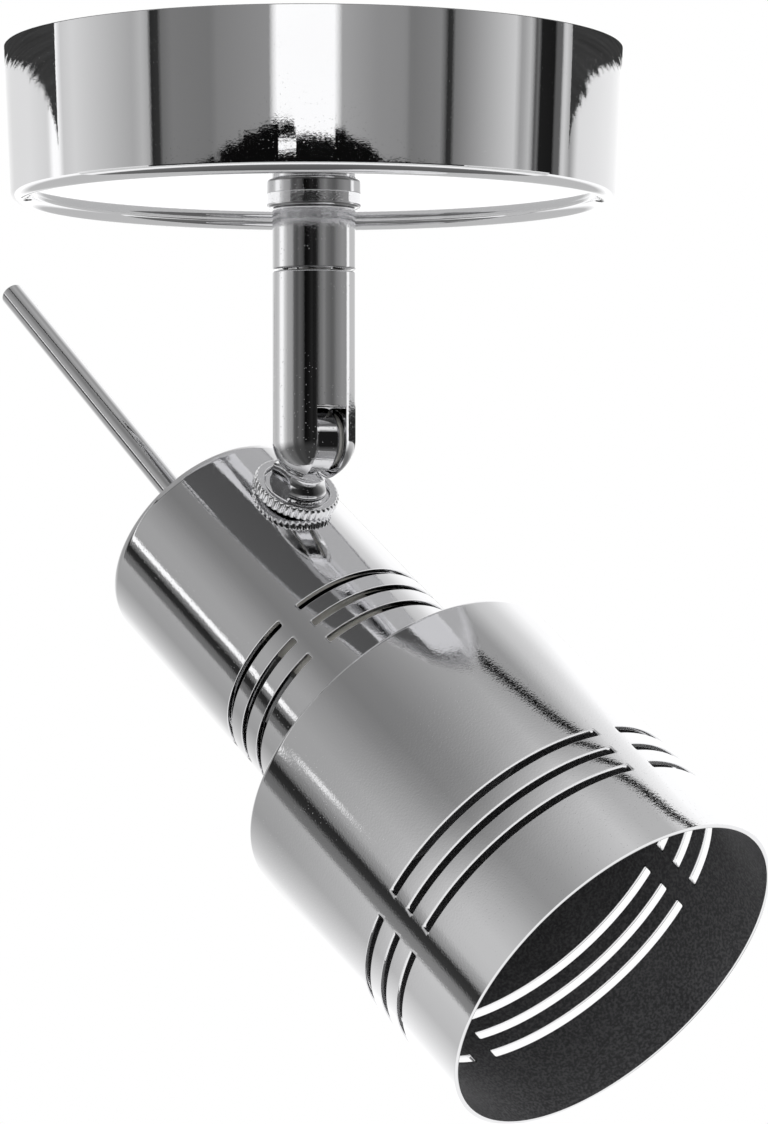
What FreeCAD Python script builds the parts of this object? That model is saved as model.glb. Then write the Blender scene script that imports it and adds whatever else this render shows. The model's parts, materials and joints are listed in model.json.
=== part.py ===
import FreeCAD, Part
import math
import os

# Ceiling spotlight: a canopy with a stem, a forked knuckle and a slotted lamp head with a pull rod.
# The origin is the centre of the canopy's face on the ceiling. +Z points up into the ceiling.
# The fork's slot runs along Y. The head points towards -Y and down, turned a little towards +X.

V = FreeCAD.Vector
X_AXIS = V(1, 0, 0)
Y_AXIS = V(0, 1, 0)
Z_AXIS = V(0, 0, 1)
ORIGIN = V(0, 0, 0)

# How the photographed light is set
tilt_deg = 38.5
turn_deg = 14.0

# Shared clearances
cut_over = 1.0
seat_gap = 0.05
running_gap = 0.05
stop_gap = 0.3

# Canopy
canopy_radius = 50.0
canopy_height = 25.0
canopy_wall = 0.8
canopy_taper = 1.0
canopy_bead = 1.7
canopy_dish = 1.6

# Ceiling strap
strap_end_margin = 4.5
strap_width = 18.0
strap_thickness = 1.5
strap_drop = 12.5
strap_flat_length = 32.0
strap_ramp = 6.0
strap_slot_spacing = 62.0
strap_slot_width = 5.2
strap_slot_length = 13.0
strap_tab_width = 26.0
strap_tab_reach = 30.0

# Hollow threaded nipple and its nuts
nipple_radius = 5.0
nipple_bore = 3.6
nipple_stick_up = 5.0
nut_flats = 14.0
lock_nut_height = 2.5
canopy_nut_height = 3.0
canopy_washer_radius = 9.5
canopy_washer_height = 0.8

# Earth screw on the strap
earth_screw_radius = 2.0
earth_screw_place = 12.6
earth_head_radius = 3.3
earth_head_height = 2.2
earth_screw_length = 7.0
screw_slot_width = 0.8
screw_slot_depth = 0.9

# Terminal block
block_length = 26.0
block_depth = 15.0
block_height = 9.5
block_start = 12.5
block_poles = 3
block_pole_pitch = 8.7
tube_radius = 2.2
tube_bore = 1.4
tube_length = 13.0
tube_lift = 3.8
terminal_screw_radius = 1.3
terminal_screw_spread = 7.0
terminal_screw_sink = 1.2
fixing_screw_radius = 1.2
fixing_head_radius = 2.0
fixing_head_height = 1.3

# Collar and upper stem
collar_radius = 7.6
collar_height = 2.3
collar_edge = 0.5
stem_radius = 6.75
upper_stem_length = 10.0
stem_edge = 0.25
web_thickness = 2.4
nipple_grip = 5.3

# Swivel between the upper and the lower stem
swivel_seam = 0.3
spigot_radius = 3.6
stem_bore = 2.6
swivel_washer_radius = 4.6
spring_washer_radius = 4.6
spring_washer_height = 0.7
retainer_radius = 4.6
retainer_height = 1.1
stop_pin_radius = 0.5
stop_pin_place = 5.2
stop_pin_rise = 1.0
stop_limit_deg = 165.0

# Knuckle: the fork in the lower stem, its screw and the tongue
pivot_depth = 63.2
slot_width = 5.3
slot_ceiling_gap = 0.2
slot_edge = 0.5
eye_radius = 5.2
eye_edge = 0.7
friction_washer_radius = 4.4
friction_washer_thickness = 0.3
knuckle_screw_radius = 1.6
knuckle_head_radius = 2.4
knuckle_head_height = 1.5
knuckle_head_sink = 0.5
screw_blind_wall = 1.6
neck_radius = 4.3
waist_radius = 3.9
waist_depth = 6.1
toe_radius = 5.05
toe_height = 1.9
toe_edge = 0.4
toe_half_width = 3.2
ball_room = 0.35
foot_radius = 5.3
foot_height = 0.35
ring_radius = 7.2
ring_height = 2.2
ring_recess_radius = 5.6
ring_recess_depth = 1.0
ring_teeth = 40
ring_tooth_depth = 0.4
ring_edge = 0.4
pivot_to_housing = 11.35
stud_radius = 4.0
stud_bore = 2.4
arm_bore = 1.5
arm_bore_top = 4.4
inner_washer_radius = 6.5
inner_washer_height = 1.0
inner_nut_flats = 12.5
inner_nut_height = 4.0
stud_stick_out = 1.0

# Rear housing of the head; stations run along the head's axis from the neck, positive towards the mouth
screw_room = 4.8
housing_wall = 1.0
housing_back = 15.2
housing_edge = 2.5
lip_margin = 1.8
housing_slot_width = 1.3
housing_slot_first = 21.0
slot_pitch = 4.15
slot_rows = 3
slot_groups = 4
housing_bridge = 3.8
housing_bridge_deg = 45.0

# Front shade
shade_radius = 30.3
shade_wall = 0.7
shade_length = 55.3
shade_start = 41.7
shade_edge = 0.9
shade_slot_width = 1.45
shade_slot_setback = 22.6
shade_bridge = 4.6
shade_bridge_deg = -6.5

# Pull rod
rod_radius = 2.1
rod_reach = 68.6
rod_edge = 0.4
rod_lean_deg = 2.8
rod_lean_side_deg = -41.6
rod_stud_radius = 1.7
rod_washer_radius = 4.5
rod_washer_height = 0.8
rod_nut_flats = 7.0
rod_nut_height = 3.0
rod_stud_stick_out = 1.0

# Holder bracket and lampholder
bracket_width = 11.0
bracket_thickness = 1.2
bracket_base_station = 15.8
bracket_leg_gap = 0.4
bracket_bend = 1.0
shade_screw_inset = 2.0
shade_screw_radius = 1.5
shade_screw_head_radius = 2.7
shade_screw_head_height = 1.7
shade_screw_reach = 4.0
holder_radius = 12.6
holder_front_gap = 2.0
holder_back_height = 2.0
holder_cavity_radius = 9.0
holder_cavity_depth = 9.0
holder_edge = 0.8
pin_spacing = 10.0
pin_head_bore = 2.7
pin_neck_bore = 1.6
pin_turn_deg = 26.0
pin_turn_steps = 3
contact_width = 4.0
contact_thickness = 0.6
contact_height = 6.5
contact_span = 4.4
holder_screw_inset = 2.0
holder_screw_radius = 1.2
holder_screw_head_radius = 2.2
holder_screw_head_height = 1.4
holder_screw_length = 9.0
head_earth_radius = 1.6
head_earth_head_radius = 2.8
head_earth_head_height = 1.6

# Places that follow from the sizes
strap_length = strap_slot_spacing + strap_slot_length + 2 * strap_end_margin
leg_inside = holder_radius + bracket_leg_gap
leg_outside = leg_inside + bracket_thickness
housing_bore = leg_outside + screw_room
housing_radius = housing_bore + housing_wall
shade_screw_place = housing_bore - shade_screw_inset
housing_lip_bore = shade_screw_place - lip_margin
holder_screw_place = holder_radius - holder_screw_inset
canopy_plate_z = canopy_dish - canopy_height
canopy_plate_top_z = canopy_plate_z + canopy_wall
strap_centre_top_z = -strap_drop
strap_centre_bottom_z = -strap_drop - strap_thickness
collar_bottom_z = canopy_plate_z - collar_height
upper_stem_bottom_z = collar_bottom_z - upper_stem_length
web_top_z = upper_stem_bottom_z + web_thickness
nipple_bottom_z = collar_bottom_z - nipple_grip
lower_stem_top_z = upper_stem_bottom_z - swivel_seam
retainer_bottom_z = web_top_z + spring_washer_height + running_gap
spigot_top_z = retainer_bottom_z + retainer_height
pivot = V(0, 0, -pivot_depth)
slot_ceiling_z = eye_radius + slot_ceiling_gap
eye_thickness = slot_width - 2 * (friction_washer_thickness + running_gap)
ring_top_t = pivot_to_housing - ring_height
foot_bottom_t = ring_top_t + ring_recess_depth - running_gap
foot_top_t = foot_bottom_t - foot_height
toe_top_t = foot_top_t - toe_height
pivot_to_axis = pivot_to_housing + housing_radius
inner_washer_t = pivot_to_axis - math.sqrt(housing_bore**2 - inner_washer_radius**2) + seat_gap
inner_nut_t = inner_washer_t + inner_washer_height + running_gap
stud_end_t = inner_nut_t + inner_nut_height + stud_stick_out
shade_end = shade_start + shade_length
tab_station = shade_start - housing_wall - bracket_thickness
holder_front = tab_station + bracket_thickness - holder_front_gap
holder_back = bracket_base_station + bracket_thickness
contact_station = holder_back + holder_back_height


def cylinder(radius, height, base=ORIGIN, direction=Z_AXIS):
    return Part.makeCylinder(radius, height, base, direction)


def way(radius, length, base=ORIGIN, direction=Z_AXIS):
    """A round cutter that runs past both ends of the given length."""
    return Part.makeCylinder(radius, length + 2 * cut_over, base - direction * cut_over, direction)


def tube(outer, inner, height, base=ORIGIN, direction=Z_AXIS):
    """A plain washer or sleeve."""
    return cylinder(outer, height, base, direction).cut(way(inner, height, base, direction))


def box(low, high):
    return Part.makeBox(high.x - low.x, high.y - low.y, high.z - low.z, low)


def hexagon(flats, height, bore, base=ORIGIN, direction=Z_AXIS):
    """A nut with a plain bore and crowned corners, standing on base along the direction."""
    corner = flats / 2 / math.cos(math.radians(30))
    angles = [math.radians(60 * i) for i in range(7)]
    points = [V(corner * math.cos(angle), corner * math.sin(angle), 0) for angle in angles]
    solid = Part.Face(Part.makePolygon(points)).extrude(Z_AXIS * height)
    inner = flats / 2
    crown = (corner - inner) / 2
    profile = [(0, 0), (inner, 0), (corner, crown), (corner, height - crown), (inner, height), (0, height)]
    solid = solid.common(revolve_points(profile))
    solid = solid.cut(way(bore, height))
    solid.Placement = FreeCAD.Placement(base, FreeCAD.Rotation(Z_AXIS, direction))
    return solid


def revolve_points(points):
    """Turns an outline of (radius, height) points about Z."""
    corners = [V(radius, 0, height) for radius, height in points]
    return Part.Face(Part.makePolygon(corners + corners[:1])).revolve(ORIGIN, Z_AXIS, 360)


def revolve_edges(edges, axis):
    return Part.Face(Part.Wire(edges)).revolve(ORIGIN, axis, 360)


def line(a, b):
    return Part.LineSegment(a, b).toShape()


def arc(a, middle, b):
    return Part.Arc(a, middle, b).toShape()


def quarter(centre, a, b):
    """A quarter circle about centre, from a to b."""
    half = (a - centre) + (b - centre)
    radius = (a - centre).Length
    return arc(a, centre + half * (radius / half.Length), b)


def slotted_screw(head_size, shank_radius, length, base, direction):
    """The head rests on base and stands against the direction; the shank runs along it."""
    head_radius, head_height = head_size
    head = cylinder(head_radius, head_height, V(0, 0, -head_height))
    rim = [e for e in head.Edges if abs(e.BoundBox.ZMax + head_height) < seat_gap and len(e.Vertexes) == 1]
    head = head.makeFillet(head_height / 3, rim)
    slot_low = V(-head_radius - cut_over, -screw_slot_width / 2, -head_height - cut_over)
    slot_high = V(head_radius + cut_over, screw_slot_width / 2, screw_slot_depth - head_height)
    solid = head.fuse(cylinder(shank_radius, length)).cut(box(slot_low, slot_high)).removeSplitter()
    solid.Placement = FreeCAD.Placement(base, FreeCAD.Rotation(Z_AXIS, direction))
    return solid


def on_link(shape):
    """From the upright knuckle about the pivot to the tilted one in the light."""
    shape = shape.copy()
    tilt = FreeCAD.Placement(pivot, FreeCAD.Rotation(X_AXIS, tilt_deg))
    shape.Placement = tilt.multiply(shape.Placement)
    return shape


def on_head(shape):
    """From the head's own axes, +X towards the mouth and +Z towards the knuckle, to the light's."""
    shape = shape.copy()
    turn = FreeCAD.Placement(V(0, 0, -pivot_to_axis), FreeCAD.Rotation(Z_AXIS, turn_deg - 90))
    tilt = FreeCAD.Placement(pivot, FreeCAD.Rotation(X_AXIS, tilt_deg))
    shape.Placement = tilt.multiply(turn).multiply(shape.Placement)
    return shape


def make_canopy():
    """A drawn cup with a rolled edge; the plate inside the roll sits a little higher."""
    side_foot = canopy_radius - canopy_taper
    roll = V(side_foot - canopy_bead, 0, canopy_bead - canopy_height)
    roll_inside = canopy_bead - canopy_wall
    plate_edge = roll.x - math.sqrt(canopy_bead**2 - (roll.z - canopy_plate_z) ** 2)
    hole = nipple_radius + seat_gap
    lowest = V(roll.x, 0, -canopy_height)
    under = V(plate_edge, 0, canopy_plate_z)
    inner_foot = V(roll.x - roll_inside, 0, roll.z)
    edges = [
        line(V(canopy_radius, 0, 0), V(side_foot, 0, roll.z)),
        quarter(roll, V(side_foot, 0, roll.z), lowest),
        quarter(roll, lowest, under),
        line(under, V(hole, 0, canopy_plate_z)),
        line(V(hole, 0, canopy_plate_z), V(hole, 0, canopy_plate_top_z)),
        line(V(hole, 0, canopy_plate_top_z), V(inner_foot.x, 0, canopy_plate_top_z)),
        line(V(inner_foot.x, 0, canopy_plate_top_z), inner_foot),
        arc(inner_foot, V(roll.x, 0, roll.z - roll_inside), V(roll.x + roll_inside, 0, roll.z)),
        line(V(roll.x + roll_inside, 0, roll.z), V(canopy_radius - canopy_wall, 0, 0)),
        line(V(canopy_radius - canopy_wall, 0, 0), V(canopy_radius, 0, 0)),
    ]
    return revolve_edges(edges, Z_AXIS)


def make_ceiling_strap():
    """A cranked steel strap: ends flat on the ceiling, a dropped middle with a threaded hole, and a tab."""
    end = strap_length / 2
    flat = strap_flat_length / 2
    top = [(-end, 0), (-flat - strap_ramp, 0), (-flat, strap_centre_top_z), (flat, strap_centre_top_z)]
    top = top + [(flat + strap_ramp, 0), (end, 0)]
    bottom = [(x, z - strap_thickness) for x, z in reversed(top)]
    corners = [V(x, -strap_width / 2, z) for x, z in top + bottom]
    solid = Part.Face(Part.makePolygon(corners + corners[:1])).extrude(Y_AXIS * strap_width)
    tab_low = V(-strap_tab_width / 2, 0, strap_centre_bottom_z)
    tab_high = V(strap_tab_width / 2, strap_tab_reach, strap_centre_top_z)
    solid = solid.fuse(box(tab_low, tab_high)).removeSplitter()
    solid = solid.cut(way(nipple_radius, strap_thickness, V(0, 0, strap_centre_bottom_z)))
    for side in (-1, 1):
        solid = solid.cut(strap_slot(side * strap_slot_spacing / 2))
    for x, y in ((-earth_screw_place, 0), (block_pole_pitch / 2, block_start + block_depth / 2)):
        radius = earth_screw_radius if y == 0 else fixing_screw_radius
        solid = solid.cut(way(radius + seat_gap, strap_thickness, V(x, y, strap_centre_bottom_z)))
    return solid


def strap_slot(x):
    half = (strap_slot_length - strap_slot_width) / 2
    radius = strap_slot_width / 2
    middle = box(V(x - half, -radius, -strap_thickness - cut_over), V(x + half, radius, cut_over))
    ends = [way(radius, strap_thickness, V(x + side * half, 0, -strap_thickness)) for side in (-1, 1)]
    return middle.fuse(ends)


def make_nipple():
    top_z = strap_centre_top_z + nipple_stick_up
    return tube(nipple_radius - seat_gap, nipple_bore, top_z - nipple_bottom_z, V(0, 0, nipple_bottom_z))


def make_bracket_lock_nut():
    base = V(0, 0, strap_centre_bottom_z - lock_nut_height)
    return hexagon(nut_flats, lock_nut_height, nipple_radius, base)


def make_canopy_washer():
    return tube(canopy_washer_radius, nipple_radius, canopy_washer_height, V(0, 0, canopy_plate_top_z))


def make_canopy_nut():
    base = V(0, 0, canopy_plate_top_z + canopy_washer_height)
    return hexagon(nut_flats, canopy_nut_height, nipple_radius, base)


def make_earth_screw():
    place = V(-earth_screw_place, 0, strap_centre_bottom_z)
    head = (earth_head_radius, earth_head_height)
    return slotted_screw(head, earth_screw_radius, earth_screw_length, place, Z_AXIS)


def pole_places():
    middle = (block_poles - 1) / 2
    return [(i - middle) * block_pole_pitch for i in range(block_poles)]


def terminal_screw_places():
    middle = block_start + block_depth / 2
    return [(x, middle + side * terminal_screw_spread / 2) for x in pole_places() for side in (-1, 1)]


def make_terminal_block():
    """One moulded block: raised poles, with a round way for each brass tube and a well for each screw."""
    floor_z = strap_centre_top_z
    low = V(-block_length / 2, block_start, floor_z)
    high = V(block_length / 2, block_start + block_depth, floor_z + block_height / 2)
    solid = box(low, high)
    rib = block_pole_pitch / 2 - fixing_head_radius / 2
    for x in pole_places():
        rib_low = V(x - rib, block_start, floor_z)
        rib_high = V(x + rib, block_start + block_depth, floor_z + block_height)
        solid = solid.fuse(box(rib_low, rib_high))
    for x in pole_places():
        tube_start = V(x, block_start, floor_z + tube_lift)
        solid = solid.cut(way(tube_radius + seat_gap, block_depth, tube_start, Y_AXIS))
    for x, y in terminal_screw_places():
        well = cylinder(terminal_screw_radius + seat_gap, block_height, V(x, y, floor_z + tube_lift))
        solid = solid.cut(well)
    place = V(block_pole_pitch / 2, block_start + block_depth / 2, floor_z)
    shank_way = way(fixing_screw_radius + seat_gap, block_height, place)
    head_z = floor_z + block_height / 2
    head_way = cylinder(fixing_head_radius + seat_gap, block_height, V(place.x, place.y, head_z))
    return solid.cut([shank_way, head_way]).removeSplitter()


def make_terminal_tubes():
    tubes = []
    start_y = block_start + (block_depth - tube_length) / 2
    for x in pole_places():
        start = V(x, start_y, strap_centre_top_z + tube_lift)
        sleeve = tube(tube_radius, tube_bore, tube_length, start, Y_AXIS)
        for place_x, place_y in terminal_screw_places():
            if place_x == x:
                hole_base = V(x, place_y, strap_centre_top_z + tube_lift)
                sleeve = sleeve.cut(cylinder(terminal_screw_radius + seat_gap, tube_lift, hole_base))
        tubes.append(sleeve)
    return Part.makeCompound(tubes)


def make_terminal_screws():
    top_z = strap_centre_top_z + block_height - terminal_screw_sink
    bottom_z = strap_centre_top_z + tube_lift + tube_bore / 2
    screws = []
    for x, y in terminal_screw_places():
        screw = cylinder(terminal_screw_radius, top_z - bottom_z, V(x, y, bottom_z))
        slot_low = V(x - terminal_screw_radius, y - screw_slot_width / 4, top_z - screw_slot_depth)
        slot_high = V(x + terminal_screw_radius, y + screw_slot_width / 4, top_z + cut_over)
        screws.append(screw.cut(box(slot_low, slot_high)))
    return Part.makeCompound(screws)


def make_terminal_fixing_screw():
    head_z = strap_centre_top_z + block_height / 2
    place = V(block_pole_pitch / 2, block_start + block_depth / 2, head_z)
    length = block_height / 2 + strap_thickness
    head = (fixing_head_radius, fixing_head_height)
    return slotted_screw(head, fixing_screw_radius, length, place, Z_AXIS * -1)


def make_collar():
    solid = tube(collar_radius, nipple_radius, collar_height, V(0, 0, collar_bottom_z))
    rims = [e for e in solid.Edges if len(e.Vertexes) == 1 and e.BoundBox.XMax > collar_radius - seat_gap]
    return solid.makeFillet(collar_edge, rims)


def make_upper_stem():
    """A turned sleeve: threaded for the nipple above, with a web below that carries the swivel."""
    solid = cylinder(stem_radius, upper_stem_length, V(0, 0, upper_stem_bottom_z))
    rims = [e for e in solid.Edges if len(e.Vertexes) == 1]
    solid = solid.makeFillet(stem_edge, rims)
    thread = cylinder(nipple_radius, upper_stem_length, V(0, 0, web_top_z))
    hole = way(spigot_radius + running_gap, web_thickness, V(0, 0, upper_stem_bottom_z))
    return solid.cut([thread, hole, make_stop_groove()])


def make_stop_groove():
    """The stop pin's way: a ring less a rib that faces the pin."""
    half_width = stop_pin_radius + stop_gap
    depth = stop_pin_rise + stop_gap
    base = V(0, 0, upper_stem_bottom_z - cut_over)
    ring = tube(stop_pin_place + half_width, stop_pin_place - half_width, depth + cut_over, base)
    pin_half_deg = math.degrees(math.asin((stop_pin_radius + stop_gap) / stop_pin_place))
    rib_half_deg = 180 - stop_limit_deg - pin_half_deg
    reach = stem_radius + cut_over
    wedge = Part.makeCylinder(reach, depth + cut_over, base, Z_AXIS, 2 * rib_half_deg)
    wedge.rotate(ORIGIN, Z_AXIS, -rib_half_deg)
    return ring.cut(wedge)


def make_swivel_washer():
    height = swivel_seam - running_gap
    return tube(swivel_washer_radius, spigot_radius + seat_gap, height, V(0, 0, lower_stem_top_z))


def make_spring_washer():
    bore = spigot_radius + running_gap
    return tube(spring_washer_radius, bore, spring_washer_height, V(0, 0, web_top_z))


def make_swivel_retainer():
    """A flanged ring pressed over the spigot; two notches take the tool."""
    solid = tube(retainer_radius, spigot_radius, retainer_height, V(0, 0, retainer_bottom_z))
    notch_low = V(-retainer_radius - cut_over, -screw_slot_width / 2, spigot_top_z - retainer_height / 2)
    notch_high = V(retainer_radius + cut_over, screw_slot_width / 2, spigot_top_z + cut_over)
    return solid.cut(box(notch_low, notch_high))


def make_stop_pin():
    base_z = lower_stem_top_z - stop_pin_rise
    height = 2 * stop_pin_rise + swivel_seam
    return cylinder(stop_pin_radius, height, V(-stop_pin_place, 0, base_z))


def make_lower_stem():
    """Round bar with a hollow spigot above and a ball end below, slotted through along Y."""
    pivot_z = -pivot_depth
    solid = cylinder(stem_radius, lower_stem_top_z - pivot_z, V(0, 0, pivot_z))
    top_rim = [e for e in solid.Edges if len(e.Vertexes) == 1 and e.BoundBox.ZMin > -pivot_depth]
    solid = solid.makeFillet(stem_edge, top_rim)
    solid = solid.fuse(Part.makeSphere(stem_radius, pivot))
    solid = solid.fuse(cylinder(spigot_radius, spigot_top_z - lower_stem_top_z, V(0, 0, lower_stem_top_z)))
    solid = solid.removeSplitter().cut(make_fork_slot())
    bore_bottom = pivot_z + slot_ceiling_z - cut_over
    solid = solid.cut(cylinder(stem_bore, spigot_top_z - bore_bottom + cut_over, V(0, 0, bore_bottom)))
    pin_hole_base = V(-stop_pin_place, 0, lower_stem_top_z - stop_pin_rise)
    solid = solid.cut(cylinder(stop_pin_radius, 2 * stop_pin_rise, pin_hole_base))
    head_start = stem_radius - knuckle_head_sink - knuckle_head_height
    tip = V(screw_blind_wall - stem_radius, 0, pivot_z)
    shank_way = cylinder(knuckle_screw_radius, head_start - tip.x + cut_over, tip, X_AXIS)
    head_way = cylinder(knuckle_head_radius + seat_gap, stem_radius, V(head_start, 0, pivot_z), X_AXIS)
    return solid.cut([shank_way, head_way])


def make_fork_slot():
    """The slot's flat cut, with its ceiling's outer edges eased."""
    half = slot_width / 2
    ceiling = slot_ceiling_z - pivot_depth
    reach = stem_radius + cut_over
    slot = box(V(-half, -reach, -pivot_depth - reach), V(half, reach, ceiling))
    for side in (-1, 1):
        edge_y = side * math.sqrt(stem_radius**2 - half**2)
        corners = [
            V(0, edge_y - side * slot_edge, ceiling),
            V(0, side * reach, ceiling + reach - abs(edge_y) + slot_edge),
            V(0, side * reach, ceiling),
        ]
        ease = Part.Face(Part.makePolygon(corners + corners[:1])).extrude(X_AXIS * slot_width)
        ease.translate(V(-half, 0, 0))
        slot = slot.fuse(ease)
    return slot.removeSplitter()


def make_knuckle_screw():
    """Slotted screw from the far side, blind in the near ear; its shank is the hinge pin."""
    head_seat = stem_radius - knuckle_head_sink - knuckle_head_height
    length = head_seat + stem_radius - screw_blind_wall
    head = (knuckle_head_radius, knuckle_head_height)
    return slotted_screw(head, knuckle_screw_radius, length, V(head_seat, 0, -pivot_depth), X_AXIS * -1)


def make_friction_washers():
    """One thin washer on each ear, inside the slot."""
    washers = []
    for x in (-slot_width / 2, slot_width / 2 - friction_washer_thickness):
        base = V(x, 0, -pivot_depth)
        bore = knuckle_screw_radius + seat_gap
        washers.append(tube(friction_washer_radius, bore, friction_washer_thickness, base, X_AXIS))
    return Part.makeCompound(washers)


def between_flats(solid, half):
    """Keeps what lies between two flat sides across X."""
    reach = pivot_depth
    return solid.common(box(V(-half, -reach, -reach), V(half, reach, reach)))


def make_tongue_body():
    """A turned neck, waist and toe; flat sides clear the fork above and widen below its ball end."""
    neck_low = eye_edge - eye_radius
    outline = [(0, 0), (neck_radius, 0), (neck_radius, neck_low), (waist_radius, -waist_depth)]
    outline = outline + [(toe_radius - toe_edge, -toe_top_t + toe_edge), (toe_radius, -toe_top_t)]
    outline = outline + [(toe_radius, -foot_top_t + toe_edge), (toe_radius - toe_edge, -foot_top_t)]
    outline = outline + [(0, -foot_top_t)]
    turned = revolve_points(outline)
    neck = between_flats(turned, eye_thickness / 2)
    toe = between_flats(turned, toe_half_width).cut(Part.makeSphere(stem_radius + ball_room))
    return neck.fuse(toe)


def make_knuckle_tongue():
    """Eye, waisted neck with a rounded toe, round foot and hollow threaded stud in one piece."""
    half = eye_thickness / 2
    eye = cylinder(eye_radius, eye_thickness, V(-half, 0, 0), X_AXIS)
    eye = eye.makeFillet(eye_edge, [e for e in eye.Edges if len(e.Vertexes) == 1])
    foot = cylinder(foot_radius, foot_height, V(0, 0, -foot_bottom_t))
    stud = cylinder(stud_radius, stud_end_t - foot_bottom_t, V(0, 0, -stud_end_t))
    solid = eye.fuse([make_tongue_body(), foot, stud]).removeSplitter()
    pin_way = way(knuckle_screw_radius + running_gap, eye_thickness, V(-half, 0, 0), X_AXIS)
    lead_top = -arm_bore_top - arm_bore
    lead_way = cylinder(arm_bore, stud_end_t, V(0, 0, lead_top - stud_end_t))
    lead_exit = cylinder(arm_bore, eye_radius + cut_over, V(0, 0, lead_top), Y_AXIS)
    stud_way = cylinder(stud_bore, stud_end_t, V(0, 0, -stud_end_t - foot_bottom_t))
    return on_link(solid.cut([pin_way, lead_way, lead_exit, stud_way]))


def make_knurled_ring():
    """Lock ring with straight knurling, threaded on the stud; its recess takes the tongue's foot."""
    points = []
    for i in range(ring_teeth):
        for half_step, radius in ((0, ring_radius), (1, ring_radius - ring_tooth_depth)):
            angle = math.pi * (2 * i + half_step) / ring_teeth
            points.append(V(radius * math.cos(angle), radius * math.sin(angle), -pivot_to_housing))
    solid = Part.Face(Part.makePolygon(points + points[:1])).extrude(Z_AXIS * ring_height)
    shoulder = ring_radius - ring_edge
    low = -pivot_to_housing
    high = -ring_top_t
    outline = [(0, low), (shoulder, low), (ring_radius, low + ring_edge)]
    outline = outline + [(ring_radius, high - ring_edge), (shoulder, high), (0, high)]
    solid = solid.common(revolve_points(outline))
    recess = cylinder(ring_recess_radius, ring_height, V(0, 0, -ring_top_t - ring_recess_depth))
    thread = way(stud_radius + running_gap, ring_height, V(0, 0, -pivot_to_housing))
    return on_link(solid.cut([recess, thread]))


def make_inner_washer():
    base = V(0, 0, -inner_washer_t - inner_washer_height)
    return on_link(tube(inner_washer_radius, stud_radius + running_gap, inner_washer_height, base))


def make_inner_nut():
    base = V(0, 0, -inner_nut_t - inner_nut_height)
    return on_link(hexagon(inner_nut_flats, inner_nut_height, stud_radius + seat_gap, base))


def slot_arc(size, station, bridge, start_deg):
    """One saw slot through a round wall: a quarter of the way round, less the bridge."""
    radius, wall, width = size
    bridge_deg = math.degrees(bridge / radius)
    sweep_deg = 360 / slot_groups - bridge_deg
    outer = Part.makeCylinder(radius + cut_over, width, ORIGIN, Z_AXIS, sweep_deg)
    solid = outer.cut(cylinder(radius - wall - cut_over, width))
    solid.Placement = FreeCAD.Placement(V(station - width / 2, 0, 0), FreeCAD.Rotation(Y_AXIS, 90))
    solid.rotate(ORIGIN, X_AXIS, 180 + start_deg + bridge_deg / 2)
    return solid


def cut_slots(solid, size, first_station, bridge, bridge_deg):
    cutters = []
    for row in range(slot_rows):
        for group in range(slot_groups):
            station = first_station + row * slot_pitch
            start_deg = bridge_deg + group * 360 / slot_groups
            cutters.append(slot_arc(size, station, bridge, start_deg))
    return solid.cut(cutters)


def make_rear_housing():
    """Drawn cup: rounded back edge, three rows of slots, an inward lip in front and the neck's hole."""
    back = -housing_back
    front = shade_start
    out = housing_radius
    rod_hole = rod_stud_radius + seat_gap
    bend = V(back + housing_edge, 0, out - housing_edge)
    edges = [
        line(V(back, 0, rod_hole), V(back, 0, bend.z)),
        quarter(bend, V(back, 0, bend.z), V(bend.x, 0, out)),
        line(V(bend.x, 0, out), V(front, 0, out)),
        line(V(front, 0, out), V(front, 0, housing_lip_bore)),
        line(V(front, 0, housing_lip_bore), V(front - housing_wall, 0, housing_lip_bore)),
        line(V(front - housing_wall, 0, housing_lip_bore), V(front - housing_wall, 0, housing_bore)),
        line(V(front - housing_wall, 0, housing_bore), V(bend.x, 0, housing_bore)),
        quarter(bend, V(bend.x, 0, housing_bore), V(back + housing_wall, 0, bend.z)),
        line(V(back + housing_wall, 0, bend.z), V(back + housing_wall, 0, rod_hole)),
        line(V(back + housing_wall, 0, rod_hole), V(back, 0, rod_hole)),
    ]
    solid = revolve_edges(edges, X_AXIS)
    solid = solid.cut(cylinder(stud_radius + running_gap, housing_radius + cut_over))
    solid = solid.cut(shade_screw_ways(shade_start - housing_wall, housing_wall))
    first = housing_slot_first
    size = (housing_radius, housing_wall, housing_slot_width)
    return on_head(cut_slots(solid, size, first, housing_bridge, housing_bridge_deg))


def make_front_shade():
    """Wide open cup with a flat back wall, thin rim and three rows of slots near the mouth."""
    back = shade_start
    out = shade_radius
    bore = shade_radius - shade_wall
    bend = V(back + shade_edge, 0, out - shade_edge)
    edges = [
        line(V(back, 0, housing_lip_bore), V(back, 0, bend.z)),
        quarter(bend, V(back, 0, bend.z), V(bend.x, 0, out)),
        line(V(bend.x, 0, out), V(shade_end, 0, out)),
        line(V(shade_end, 0, out), V(shade_end, 0, bore)),
        line(V(shade_end, 0, bore), V(bend.x, 0, bore)),
        quarter(bend, V(bend.x, 0, bore), V(back + shade_wall, 0, bend.z)),
        line(V(back + shade_wall, 0, bend.z), V(back + shade_wall, 0, housing_lip_bore)),
        line(V(back + shade_wall, 0, housing_lip_bore), V(back, 0, housing_lip_bore)),
    ]
    solid = revolve_edges(edges, X_AXIS)
    solid = solid.cut(shade_screw_ways(shade_start, shade_wall))
    first = shade_end - shade_slot_setback
    size = (shade_radius, shade_wall, shade_slot_width)
    return on_head(cut_slots(solid, size, first, shade_bridge, shade_bridge_deg))


def shade_screw_ways(station, wall):
    radius = shade_screw_radius + seat_gap
    return [way(radius, wall, V(station, side * shade_screw_place, 0), X_AXIS) for side in (-1, 1)]


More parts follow.
